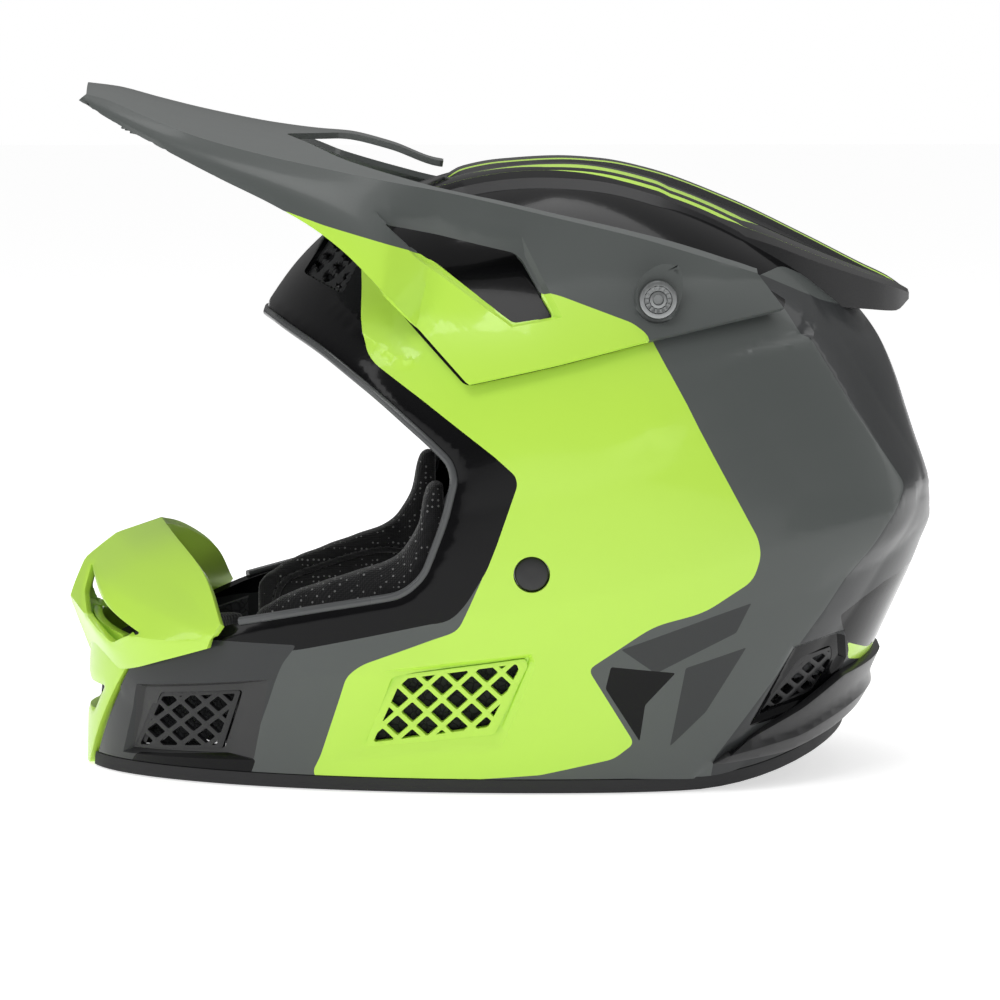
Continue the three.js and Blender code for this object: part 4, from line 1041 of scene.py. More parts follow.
def visor_place(uv):
    """u runs back along the peak, v from its lower edge up over the fold to the middle line."""
    a = uv[:, 0] / STATION
    row = VISOR_LINE(a)
    crease, lower, spine = row[:, 0:3], row[:, 3:6], np.column_stack([row[:, 6], 0 * a, row[:, 7]])
    stepped = np.column_stack([np.interp(a, np.arange(len(VISOR_EDGE)), column) for column in VISOR_EDGE.T])
    lower = np.where((a > WING_START - 1)[:, None], stepped, lower)
    low = np.clip(uv[:, 1] / FOLD, 0, 1)[:, None]
    side = lower * (1 - low) + crease * low
    clear = side_y(side[:, 0], side[:, 2]) + WING_OUT
    for turn in VISOR_TILT:
        sine, cosine = math.sin(math.radians(turn)), math.cos(math.radians(turn))
        along, up = side[:, 0] - PIVOT[0], side[:, 2] - PIVOT[1]
        swung = side_y(PIVOT[0] + along * cosine + up * sine, PIVOT[1] - along * sine + up * cosine)
        clear = np.maximum(clear, swung + WING_OUT)
    hug = np.clip((a - WING_START + 1) / 1.0, 0, 1)
    side[:, 1] = np.where(clear > side[:, 1], side[:, 1] + (clear - side[:, 1]) * hug, side[:, 1])
    side[:, 1] += 2.2 * np.sin(math.pi * low[:, 0]) * (1 - hug)
    high = np.clip((uv[:, 1] - FOLD) / TOP_SPAN, 0, 1)[:, None]
    top = crease * (1 - high) + spine * high
    top[:, 2] += (spine - crease)[:, 2] * (high * (1 - high))[:, 0]
    place = np.where((uv[:, 1] < FOLD)[:, None], side, top)
    place[:, 1] *= -1
    return place


class HELMET_OT_visor(HelmetOperator, bpy.types.Operator):
    """Builds the visor with its scoops, windows, folds and screw seats"""

    bl_idname = "helmet.visor"
    bl_label = "Visor"

    def build(self, context):
        length = (len(VISOR_CREASE) - 1) * STATION
        surface = Surface(visor_place, (length, FOLD + TOP_SPAN))
        scoop = Outline([(-24, -20), (-24, 21, 2), (-66, 22, 4), (-89, 45, 3), (-66, 80, 10), (-51, 88, 8),
                         (-26, 95.5, 6), (-12, 96), (19, 95), (52, 94), (87, 89.5), (100, 86), (118, 84),
                         (118, -20)], "top")
        window = Outline([(-50, 229, 2), (2, 217.5, 2), (5, 215, 2), (17, 193, 2), (1, 190.5, 2),
                          (-35, 217, 2)])
        lower = Outline([(-9, -9), (length + 9, -9), (length + 9, FOLD), (-9, FOLD)], "sheet", 0.0)
        lime = Outline([(-104, 239), (-94, 235.3), (-72.9, 227.8), (-35, 216.7), (12, 202.2),
                        (19.7, 200.4, 3),
                        (48.1, 189.8), (53.1, 186.2, 3), (55.6, 182.4), (57, 172), (57, 140), (-140, 140)])
        facet = Pocket([(-54, 234.5, 7.0), (5.0, 223.5, 2.0), (20.5, 192, 1.6), (0.5, 188.2, 1.6),
                        (-37, 215, 1.6)], -2.0)
        shape = [facet, Seat(PIVOT, SEAT_RADIUS, SEAT_Y)]
        verts, faces, numbers = sheet_over(surface, 2.8, drop=[scoop, window], shape=shape,
                                           paint=[(lower, 1), (lime, 2)])
        visor = piece("visor_painted", verts, faces, [finish(n) for n in ("top_grey", "side_grey", "lime")],
                      numbers, 0.55)
        settle(thicken(visor, settings().visor_wall / MM), 30)
        place = points_of(visor.data)
        edge = VISOR_EDGE[:WING_START]
        lowest = np.interp(place[:, 0] / MM, edge[:, 0], edge[:, 2]) - 1.0
        ahead = place[:, 0] / MM < edge[-1, 0]
        place[ahead, 2] = np.maximum(place[ahead, 2], lowest[ahead] * MM)
        place[:, 0] = np.maximum(place[:, 0], edge[0, 0] * MM)
        put_points(visor.data, place)
        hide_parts("visor")
        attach(visor, "visor")


# ---------------------------------------------------------------- crown piece


CROWN_LINES = Through([
    # station, plateau half width, ridge start, ridge crest, plateau height
    (-45, 14, 30, 47, 240.5), (-27, 16, 32, 49, 242.8), (-16, 17, 32, 50, 248.6), (0, 19, 33, 52, 251.6),
    (25, 20, 34, 56, 253.0),
    (42, 20, 34, 58, 251.9), (62, 20, 34, 60, 247.8), (95, 18, 31, 60, 235.7), (127, 15, 26, 57, 220.5),
    (151, 10, 17, 49, 208.3), (162, 7, 12, 38, 203.0), (169, 5, 8, 22, 198.2)])
REAR_LINES = Through([
    # station, ridge start height, crest height, foot height, foot width share, bottom height
    (95, 230.5, 222.3, 212.0, 1.06, 205.0), (110, 223.5, 217.5, 203.0, 1.03, 197.0),
    (127, 216.0, 211.0, 194.0, 0.98, 191.0), (151, 206.0, 203.0, 191.0, 0.95, 190.0),
    (162, 201.6, 199.4, 190.0, 0.95, 189.5), (169, 197.6, 196.6, 194.0, 0.98, 193.6)])


class HELMET_OT_crown(HelmetOperator, bpy.types.Operator):
    """Builds the raised crown piece that runs back into the spoiler"""

    bl_idname = "helmet.crown"
    bl_label = "Crown and spoiler"

    def section(self, x):
        """Half section as (y, z) points, and the finish number of each gap between them."""
        a, b, c, z0 = (float(v) for v in CROWN_LINES(np.array(x)))
        start, crest, foot, share, bottom = (float(v) for v in REAR_LINES(np.array(max(x, 95))))
        rear = min(max((x - 62) / 33, 0), 1)
        rear = rear * rear * (3 - 2 * rear)
        on_shell = [top_z(x, b) + 2.6, top_z(x, c) + 2.8, top_z(x, c + 5) - 1.2] if x < 96 else [0, 0, 0]
        ridge_z = max(on_shell[0] * (1 - rear) + start * rear, on_shell[0] - 0.8)
        crest_z = max(on_shell[1] * (1 - rear) + crest * rear, on_shell[1] - 0.8)
        foot_z = on_shell[2] * (1 - rear) + foot * rear
        foot_y = (c + 5) * (1 - rear) + c * share * rear
        fade = min(max((169 - x) / 20, 0), 1)
        floor_in = z0 - 1.2 - 2.6 * fade
        floor_out = min(ridge_z - 2.4 * fade, floor_in)
        points = [(0, z0), (a * 0.55, z0 - 0.15), (a * 0.86, z0 - 0.6), (a, z0 - 1.1)]
        finishes = [0, 0, 1]
        points += [(a + 1.6, floor_in), (b - 1.0, floor_out), (b + 1.2, ridge_z)]
        finishes += [2, 2, 2]
        span, drop = c - b - 1.2, crest_z - ridge_z
        upper = self.stripe(x, -12, 104, 0.26)
        under = self.stripe(x, 18, 98, 0.15)
        for share_at in (0.22, 0.22 + upper, 0.66, 0.66 + under, 1.0):
            bulge = 1.2 * math.sin(math.pi * share_at)
            points.append((b + 1.2 + span * share_at, ridge_z + drop * share_at + bulge))
        finishes += [3, 1, 3, 1, 3]
        points += [(foot_y, foot_z)]
        finishes += [2]
        points += [(0, min(bottom if x > 95 else z0 - 14, foot_z - 0.4) if x > 95 else foot_z - 2)]
        finishes += [2]
        return points, finishes

    @staticmethod
    def stripe(x, first, last, width):
        ends = min(max((x - first) / 30, 0), 1) * min(max((last - x) / 10, 0), 1)
        return max(width * ends, 0.002)

    def build(self, context):
        stations = np.concatenate([np.arange(-45, 151, 2.5), [151, 154, 157, 160, 162, 164, 166, 167.6, 169]])
        sections = [self.section(float(x)) for x in stations]
        count = len(sections[0][0])
        loop = 2 * count - 2
        verts, faces, numbers = [], [], []
        for x, (points, _) in zip(stations, sections):
            ring = [(x, -y, z) for y, z in points] + [(x, y, z) for y, z in points[-2:0:-1]]
            verts.extend(ring)
        finishes = sections[0][1]
        around = finishes + finishes[::-1]
        for i in range(len(stations) - 1):
            for j in range(loop):
                k = (j + 1) % loop
                faces.append((i * loop + j, i * loop + k, (i + 1) * loop + k, (i + 1) * loop + j))
                numbers.append(around[j])
        faces.append(tuple(range(loop - 1, -1, -1)))
        faces.append(tuple((len(stations) - 1) * loop + j for j in range(loop)))
        numbers += [2, 2]
        crown = piece("crown_spoiler", verts, faces,
                      [finish(n) for n in ("black", "lime", "plastic", "black")],
                      numbers)
        tidy_normals(crown)
        settle(crown, 24)
        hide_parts("rear_spoiler")
        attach(crown, "helmet")


# ---------------------------------------------------------------- nose guard, mouthpiece, trims, deflector


GUARD_ROWS = np.array([
    [(-170.5, 0, 42), (-157, 46, 44.0), (-138, 72, 51.0), (-121, 85, 57)],
    [(-180.5, 0, 68.5), (-168, 42, 62), (-144, 71, 59.0), (-120, 86, 60)],
    [(-174, 0, 85), (-163, 37, 78), (-139, 68, 69), (-118.5, 88, 62.5)],
    [(-160.6, 0, 95.7), (-150, 33, 89), (-128.5, 66, 77), (-117.2, 88.5, 65)],
    [(-142, 0, 102), (-135, 31, 97), (-122, 65, 84), (-115.5, 88, 67.5)]])
GUARD_STEP_OUT = 32.0
GUARD_STEP_UP = 14.0
GUARD_ACROSS = [Through([(j, *p) for j, p in enumerate(row)]) for row in GUARD_ROWS]


def guard_place(uv):
    """u runs from the middle out to the side, v from the lower edge up over the fold."""
    j, i = uv[:, 0] / GUARD_STEP_OUT, np.clip(uv[:, 1] / GUARD_STEP_UP, 0, 4)
    rows = np.array([across(j) for across in GUARD_ACROSS])
    cell = np.clip(i.astype(int), 0, 3)
    t = (i - cell)[:, None]
    pick = np.arange(len(j))
    p0 = rows[np.clip(cell - 1, 0, 4), pick]
    p1, p2 = rows[cell, pick], rows[cell + 1, pick]
    p3 = rows[np.clip(cell + 2, 0, 4), pick]
    smooth = 0.5 * (2 * p1 + (p2 - p0) * t + (2 * p0 - 5 * p1 + 4 * p2 - p3) * t ** 2
                    + (3 * p1 - p0 - 3 * p2 + p3) * t ** 3)
    straight = p1 * (1 - t) + p2 * t
    place = np.where(((cell == 3) | (cell == 0))[:, None], straight, 0.2 * smooth + 0.8 * straight)
    place[:, 1] *= -1
    return place


class HELMET_OT_chin(HelmetOperator, bpy.types.Operator):
    """Builds the nose guard and the mouthpiece"""

    bl_idname = "helmet.chin"
    bl_label = "Nose guard and mouthpiece"

    def build(self, context):
        hole = Outline([(9, 84, 1.5), (66, 61, 2), (48, 54.5, 3), (15, 73, 2)], "front")
        surface = Surface(guard_place, (3 * GUARD_STEP_OUT, 4 * GUARD_STEP_UP))
        verts, faces, _ = sheet_over(surface, 2.2, drop=[hole],
                                     shape=[Crease([(9, 84), (66, 61), (48, 54.5), (15, 73)], -0.6, 2.0, 2.0,
                                                   "front", True)])
        guard = piece("nose_guard_shaped", verts, faces, [finish("lime")], None, 0.45)
        settle(eased(thicken(guard, NOSE_GUARD_WALL), 0.6, 2, 45), 28)
        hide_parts("nose_guard")
        intake = Outline([(-6, 24), (20, 24, 2), (31, 35, 2), (-6, 35)], "front")
        keep = Outline([(-6, 0.2), (12.6, 0.2), (48, 45.7), (46, 58), (-6, 66)], "front", 2.0)
        verts, faces, _ = sheet_over(ShellForm(1.5), 2.2, keep=keep, drop=[intake],
                                     shape=[Crease([(0, 24), (20, 24), (31, 35), (0, 35)], -0.8, 3.0, 3.0,
                                                   "front")])
        front = piece("mouthpiece_shaped", verts, faces, [finish("lime")])
        settle(eased(thicken(front, MOUTHPIECE_WALL), 0.6, 2, 45), 28)
        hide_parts("mouthpiece")
        for obj in (guard, front):
            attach(obj, "helmet")


def tube_tree():
    """Node tree: a round tube along the object's own edges."""
    tree = bpy.data.node_groups.new("tube_along_path", "GeometryNodeTree")
    tree.interface.new_socket("Path", in_out="INPUT", socket_type="NodeSocketGeometry")
    tree.interface.new_socket("Radius", in_out="INPUT", socket_type="NodeSocketFloat")
    tree.interface.new_socket("Finish", in_out="INPUT", socket_type="NodeSocketMaterial")
    tree.interface.new_socket("Tube", in_out="OUTPUT", socket_type="NodeSocketGeometry")
    nodes, links = tree.nodes, tree.links
    given, result = nodes.new("NodeGroupInput"), nodes.new("NodeGroupOutput")
    curve, ring = nodes.new("GeometryNodeMeshToCurve"), nodes.new("GeometryNodeCurvePrimitiveCircle")
    ring.inputs["Resolution"].default_value = 12
    sweep, realize = nodes.new("GeometryNodeCurveToMesh"), nodes.new("GeometryNodeRealizeInstances")
    sweep.inputs["Fill Caps"].default_value = True
    paint = nodes.new("GeometryNodeSetMaterial")
    links.new(given.outputs["Path"], curve.inputs["Mesh"])
    links.new(given.outputs["Radius"], ring.inputs["Radius"])
    links.new(curve.outputs["Curve"], sweep.inputs["Curve"])
    links.new(ring.outputs["Curve"], sweep.inputs["Profile Curve"])
    links.new(sweep.outputs["Mesh"], realize.inputs["Geometry"])
    links.new(realize.outputs["Geometry"], paint.inputs["Geometry"])
    links.new(given.outputs["Finish"], paint.inputs["Material"])
    links.new(paint.outputs["Geometry"], result.inputs["Tube"])
    return tree


TREES = {}


def with_tree(obj, key, maker, **values):
    """Runs a node tree on an object and keeps its result as plain mesh."""
    if key not in TREES:
        TREES[key] = maker()
    tree = TREES[key]
    modifier = obj.modifiers.new(key, "NODES")
    modifier.node_group = tree
    for item in tree.interface.items_tree:
        if item.in_out == "INPUT" and item.name in values:
            modifier[item.identifier] = values[item.name]
    return settle(obj, 40)


def tube(name, points, radius, finish_name, closed=False):
    """A tube along millimetre points."""
    count = len(points)
    mesh = bpy.data.meshes.new(name)
    edges = [(i, i + 1) for i in range(count - 1)] + ([(count - 1, 0)] if closed else [])
    mesh.from_pydata((np.asarray(points, float) * MM).tolist(), edges, [])
    obj = bpy.data.objects.new(name, mesh)
    bpy.context.scene.collection.objects.link(obj)
    with_tree(obj, "tube", tube_tree, Radius=radius * MM, Finish=finish(finish_name))
    weld(obj.data)
    return settle(tidy_normals(obj), 40)


def smooth_path(points, step=2.0):
    """A Catmull-Rom line through points."""
    p = np.array(points, float)
    p = np.vstack([2 * p[0] - p[1], p, 2 * p[-1] - p[-2]])
    out = []
    for a, b, c, d in zip(p, p[1:], p[2:], p[3:]):
        for t in np.arange(0, 1, step / max(np.linalg.norm(c - b), step)):
            out.append(0.5 * (2 * b + (c - a) * t + (2 * a - 5 * b + 4 * c - d) * t * t
                              + (3 * b - a - 3 * c + d) * t ** 3))
    out.append(p[-2])
    return np.array(out)


def on_side(points, offset):
    """Side-view points lifted onto the wearer's left of the shell form."""
    line = np.asarray(points, float)
    return np.column_stack([line[:, 0], -(side_y(line[:, 0], line[:, 1]) + offset), line[:, 1]])


class HELMET_OT_trims(HelmetOperator, bpy.types.Operator):
    """Builds the eyeport rim, the rubber base trim and the rear deflector"""

    bl_idname = "helmet.trims"
    bl_label = "Trims and deflector"

    def build(self, context):
        port = rounded(EYEPORT[1:12], 3.0, False)
        port = dense(port[(port[:, 0] > -110) & (port[:, 0] < -88) | (port[:, 0] > -109)], 2.0, False)
        port = port[(port[:, 0] > front_x(climb(port[:, 1])) + 3)]
        near = on_side(port, -1.6)
        brow = np.array([(-97, -18, 189.0), (float(front_x(climb(190))) + 1.5, 0, 190)])
        half = np.vstack([near[::-1], brow])
        half = smooth_path(half[::2] if len(half) > 60 else half, 2.0)
        whole = np.vstack([half, (half * (1, -1, 1))[-2::-1]])
        rim = tube("eyeport_rim", whole, 1.7, "rim")
        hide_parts("eyeport_trim")
        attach(rim, "helmet")

        along = np.linspace(-200, 200, 50)
        low = Outline([(-FAR, 0.05)] + [(x, max(float(base_z(x)) - 6, 0.05)) for x in along]
                      + [(FAR, float(base_z(FAR)) - 6)] + [(FAR, float(base_z(FAR)) - 0.4)]
                      + [(x, float(base_z(x)) - 0.4) for x in along[::-1]]
                      + [(-FAR, 5.6)], radius=0.0)
        mouth = Outline([(-6, -5), (13, -5), (20, 12), (-6, 12)], "front", 0.0)
        verts, faces, _ = sheet_over(ShellForm(0.2), 2.4, keep=low, drop=[mouth])
        trim = piece("base_trim_rubber", verts, faces, [finish("rubber")])
        settle(eased(thicken(trim, BASE_TRIM_WALL), 1.0, 3), 40)
        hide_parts("base_trim")
        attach(trim, "helmet")

        wedge = Outline([(82, 11.6, 0), (114, 14.4), (133, 21), (150, 29.5), (FAR, 62), (FAR, 76),
                         (150, 46.5), (138, 43.5), (120, 32), (100, 22.5)], radius=2.0)
        lip = Crease([(88, 15.5), (118, 21.5), (136, 29), (150, 35), (200, 52)], 2.2, 3.0, 9.0)
        verts, faces, _ = sheet_over(ShellForm(3.7), 2.4, keep=wedge, shape=[lip])
        deflector = piece("rear_deflector_shaped", verts, faces, [finish("satin")])
        settle(eased(thicken(deflector, DEFLECTOR_WALL), 0.8, 2), 30)
        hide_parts("rear_deflector")
        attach(deflector, "helmet")


def lathe(name, centre, axis_sign, rings, finish_name, sides=40):
    """A round piece across the helmet: rings of (radius, distance outwards from the centre's y)."""
    verts, faces = [], []
    for radius, out in rings:
        for k in range(sides):
            angle = 2 * math.pi * k / sides
            verts.append((centre[0] + radius * math.cos(angle), axis_sign * (centre[1] + out),
                          centre[2] + radius * math.sin(angle)))
    for i in range(len(rings) - 1):
        for k in range(sides):
            m = (k + 1) % sides
            faces.append((i * sides + k, i * sides + m, (i + 1) * sides + m, (i + 1) * sides + k))
    faces.append(tuple(range(sides)))
    faces.append(tuple((len(rings) - 1) * sides + k for k in range(sides)))
    return settle(tidy_normals(piece(name, verts, faces, [finish(finish_name)])), 35)


def knurl_tree():
    """Node tree: small ribs set round a circle, added to the object's own mesh."""
    tree = bpy.data.node_groups.new("ribs_round_disc", "GeometryNodeTree")
    tree.interface.new_socket("Body", in_out="INPUT", socket_type="NodeSocketGeometry")
    for name, kind, value in (("Count", "NodeSocketInt", 30), ("Radius", "NodeSocketFloat", 0.007),
                              ("Centre", "NodeSocketVector", (0, 0, 0)),
                              ("Rib", "NodeSocketVector", (1, 1, 1))):
        socket = tree.interface.new_socket(name, in_out="INPUT", socket_type=kind)
        socket.default_value = value
    tree.interface.new_socket("Finish", in_out="INPUT", socket_type="NodeSocketMaterial")
    tree.interface.new_socket("Mesh", in_out="OUTPUT", socket_type="NodeSocketGeometry")
    nodes, links = tree.nodes, tree.links
    given, result = nodes.new("NodeGroupInput"), nodes.new("NodeGroupOutput")
    ring, turn = nodes.new("GeometryNodeMeshCircle"), nodes.new("GeometryNodeTransform")
    turn.inputs["Rotation"].default_value = (math.pi / 2, 0, 0)
    cube, place = nodes.new("GeometryNodeMeshCube"), nodes.new("GeometryNodeInstanceOnPoints")
    position, away = nodes.new("GeometryNodeInputPosition"), nodes.new("ShaderNodeVectorMath")
    away.operation = "SUBTRACT"
    align = nodes.new("FunctionNodeAlignRotationToVector")
    align.axis = "X"
    align.pivot_axis = "Y"
    realize, join = nodes.new("GeometryNodeRealizeInstances"), nodes.new("GeometryNodeJoinGeometry")
    paint = nodes.new("GeometryNodeSetMaterial")
    links.new(given.outputs["Count"], ring.inputs["Vertices"])
    links.new(given.outputs["Radius"], ring.inputs["Radius"])
    links.new(ring.outputs["Mesh"], turn.inputs["Geometry"])
    links.new(given.outputs["Centre"], turn.inputs["Translation"])
    links.new(position.outputs["Position"], away.inputs[0])
    links.new(given.outputs["Centre"], away.inputs[1])
    links.new(away.outputs["Vector"], align.inputs["Vector"])
    links.new(given.outputs["Rib"], cube.inputs["Size"])
    links.new(turn.outputs["Geometry"], place.inputs["Points"])
    links.new(cube.outputs["Mesh"], place.inputs["Instance"])
    links.new(align.outputs["Rotation"], place.inputs["Rotation"])
    links.new(place.outputs["Instances"], join.inputs["Geometry"])
    links.new(given.outputs["Body"], join.inputs["Geometry"])
    links.new(join.outputs["Geometry"], realize.inputs["Geometry"])
    links.new(realize.outputs["Geometry"], paint.inputs["Geometry"])
    links.new(given.outputs["Finish"], paint.inputs["Material"])
    links.new(paint.outputs["Geometry"], result.inputs["Mesh"])
    return tree


class HELMET_OT_fasteners(HelmetOperator, bpy.types.Operator):
    """Builds the two visor screws and the round side plugs"""

    bl_idname = "helmet.fasteners"
    bl_label = "Screws and plugs"

    def build(self, context):
        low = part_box("visor_screw_left")[0]
        head_out, head_in = -low.y / MM, SEAT_Y + 1.5
        depth = head_out - head_in
        centre = (PIVOT[0], head_in, PIVOT[1])
        anchor_out = -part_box("anchor_cap_left")[0].y / MM
        for sign, side in ((-1, "left"), (1, "right")):
            screw = lathe(f"visor_screw_head_{side}", centre, sign,
                          [(7.2, 0), (7.6, 0.4), (7.7, depth * 0.6), (7.3, depth * 0.92), (6.5, depth),
                           (5.6, depth), (5.3, depth * 0.6), (3.6, depth * 0.55), (3.3, depth * 0.95),
                           (2.2, depth), (1.9, depth * 0.3), (0.3, depth * 0.3)], "screw", 48)
            middle = (centre[0] * MM, sign * (head_in + depth * 0.72) * MM, centre[2] * MM)
            with_tree(screw, "ribs", knurl_tree, Count=14, Radius=4.45 * MM, Centre=middle,
                      Rib=(0.0016, depth * 0.5 * MM, 0.0008), Finish=finish("screw"))
            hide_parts(f"visor_screw_{side}")
            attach(screw, "helmet")
            plug = lathe(f"side_plug_{side}", (PLUG[0], anchor_out - 3.0, PLUG[1]), sign,
                         [(6.6, 0), (6.75, 0.3), (6.75, 2.3), (6.3, 2.8), (5.2, 3.0), (2.0, 3.0), (0.2, 3.0)],
                         "satin", 40)
            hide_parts(f"anchor_cap_{side}")
            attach(plug, "helmet")


# ---------------------------------------------------------------- soft goods


def cushion(name, node, look, voxel=4.5, shrink=1.5, swell=3.0, pressure=4.0, smooth=6):
    """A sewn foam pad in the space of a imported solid: remeshed, swollen as cloth, and softened."""
    obj = new_object(name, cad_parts[node].data.copy())
    weld(obj.data)
    remesh = obj.modifiers.new("remesh", "REMESH")
    remesh.mode = "VOXEL"
    remesh.voxel_size = voxel * MM
    ease = obj.modifiers.new("ease", "SMOOTH")
    ease.iterations = smooth
    ease.factor = 0.6
    settle(obj, 180)
    normals = np.array([v.normal for v in obj.data.vertices])
    rest = points_of(obj.data) - normals * shrink * MM
    put_points(obj.data, rest)
    cloth = obj.modifiers.new("swell", "CLOTH")
    cloth.settings.quality = 5
    cloth.settings.mass = 0.15
    cloth.settings.tension_stiffness = cloth.settings.compression_stiffness = 25
    cloth.settings.use_pressure = True
    cloth.settings.uniform_pressure_force = pressure
    cloth.settings.effector_weights.gravity = 0
    cloth.collision_settings.use_collision = False
    frames = settings().soft_frames
    for step in range(1, frames + 1):
        bpy.context.scene.frame_set(step)
    moved = points_of(bpy.data.meshes.new_from_object(
        obj.evaluated_get(bpy.context.evaluated_depsgraph_get())))
    obj.modifiers.clear()
    bpy.context.scene.frame_set(1)
    outward = np.sum((moved - rest) * normals, axis=1, keepdims=True)
    put_points(obj.data, rest + normals * np.clip(outward, 0.3 * shrink * MM, swell * MM))
    rounder = obj.modifiers.new("rounder", "SUBSURF")
    rounder.levels = rounder.render_levels = 1
    settle(obj, 180)
    obj.data.materials.clear()
    obj.data.materials.append(finish(look))
    obj.data.polygons.foreach_set("material_index", np.zeros(len(obj.data.polygons), np.int32))
    return obj


def on_pad(obj, starts, directions, lift=0.0):
    """Where rays first meet a pad, in millimetres, lifted off its surface."""
    tree = BVHTree.FromPolygons([v.co for v in obj.data.vertices], [p.vertices for p in obj.data.polygons])
    out = []
    for start, direction in zip(starts, directions):
        place = tree.ray_cast(Vector(start) * MM, Vector(direction))[0]
        if place is not None:
            out.append(np.array(place - Vector(direction).normalized() * lift * MM) / MM)
    return np.array(out)


def sink_along(obj, path, depth, width):
    """Draws a pad's skin in along a seam."""
    tree = kdtree.KDTree(len(path))
    for i, p in enumerate(path):
        tree.insert(Vector(p) * MM, i)
    tree.balance()
    place = points_of(obj.data)
    for i, vert in enumerate(obj.data.vertices):
        distance = tree.find(vert.co)[2] / MM
        if distance < width:
            place[i] -= np.array(vert.normal) * depth * MM * (1 - distance / width) ** 2
    put_points(obj.data, place)


def stitch_tree():
    """Node tree: short stitches laid end to end along the object's own edges."""
    tree = bpy.data.node_groups.new("stitches_along_path", "GeometryNodeTree")
    tree.interface.new_socket("Path", in_out="INPUT", socket_type="NodeSocketGeometry")
    for name, value in (("Pitch", 0.0036), ("Length", 0.0024), ("Radius", 0.00035)):
        socket = tree.interface.new_socket(name, in_out="INPUT", socket_type="NodeSocketFloat")
        socket.default_value = value
    tree.interface.new_socket("Finish", in_out="INPUT", socket_type="NodeSocketMaterial")
    tree.interface.new_socket("Stitches", in_out="OUTPUT", socket_type="NodeSocketGeometry")
    nodes, links = tree.nodes, tree.links
    given, result = nodes.new("NodeGroupInput"), nodes.new("NodeGroupOutput")
    curve, spread = nodes.new("GeometryNodeMeshToCurve"), nodes.new("GeometryNodeCurveToPoints")
    spread.mode = "LENGTH"
    stitch, place = nodes.new("GeometryNodeMeshCylinder"), nodes.new("GeometryNodeInstanceOnPoints")
    stitch.inputs["Vertices"].default_value = 6
    realize, paint = nodes.new("GeometryNodeRealizeInstances"), nodes.new("GeometryNodeSetMaterial")
    links.new(given.outputs["Path"], curve.inputs["Mesh"])
    links.new(curve.outputs["Curve"], spread.inputs["Curve"])
    links.new(given.outputs["Pitch"], spread.inputs["Length"])
    links.new(given.outputs["Radius"], stitch.inputs["Radius"])
    links.new(given.outputs["Length"], stitch.inputs["Depth"])
    links.new(spread.outputs["Points"], place.inputs["Points"])
    links.new(spread.outputs["Rotation"], place.inputs["Rotation"])
    links.new(stitch.outputs["Mesh"], place.inputs["Instance"])
    links.new(place.outputs["Instances"], realize.inputs["Geometry"])
    links.new(realize.outputs["Geometry"], paint.inputs["Geometry"])
    links.new(given.outputs["Finish"], paint.inputs["Material"])
    links.new(paint.outputs["Geometry"], result.inputs["Stitches"])
    return tree


def stitches(name, paths, body, look="thread"):
    """Rows of stitches along millimetre paths."""
    verts, edges = [], []
    for path in paths:
        first = len(verts)
        verts.extend((np.asarray(path, float) * MM).tolist())
        edges.extend((first + i, first + i + 1) for i in range(len(path) - 1))
    mesh = bpy.data.meshes.new(name)
    mesh.from_pydata(verts, edges, [])
    obj = new_object(name, mesh)
    pitch = settings().stitch_pitch
    with_tree(obj, "stitches", stitch_tree, Pitch=pitch, Length=pitch * 0.66, Radius=0.0004,
              Finish=finish(look))
    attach(obj, body)
    return obj


def soft_piece(obj, node, body):
    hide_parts(node)
    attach(obj, body)


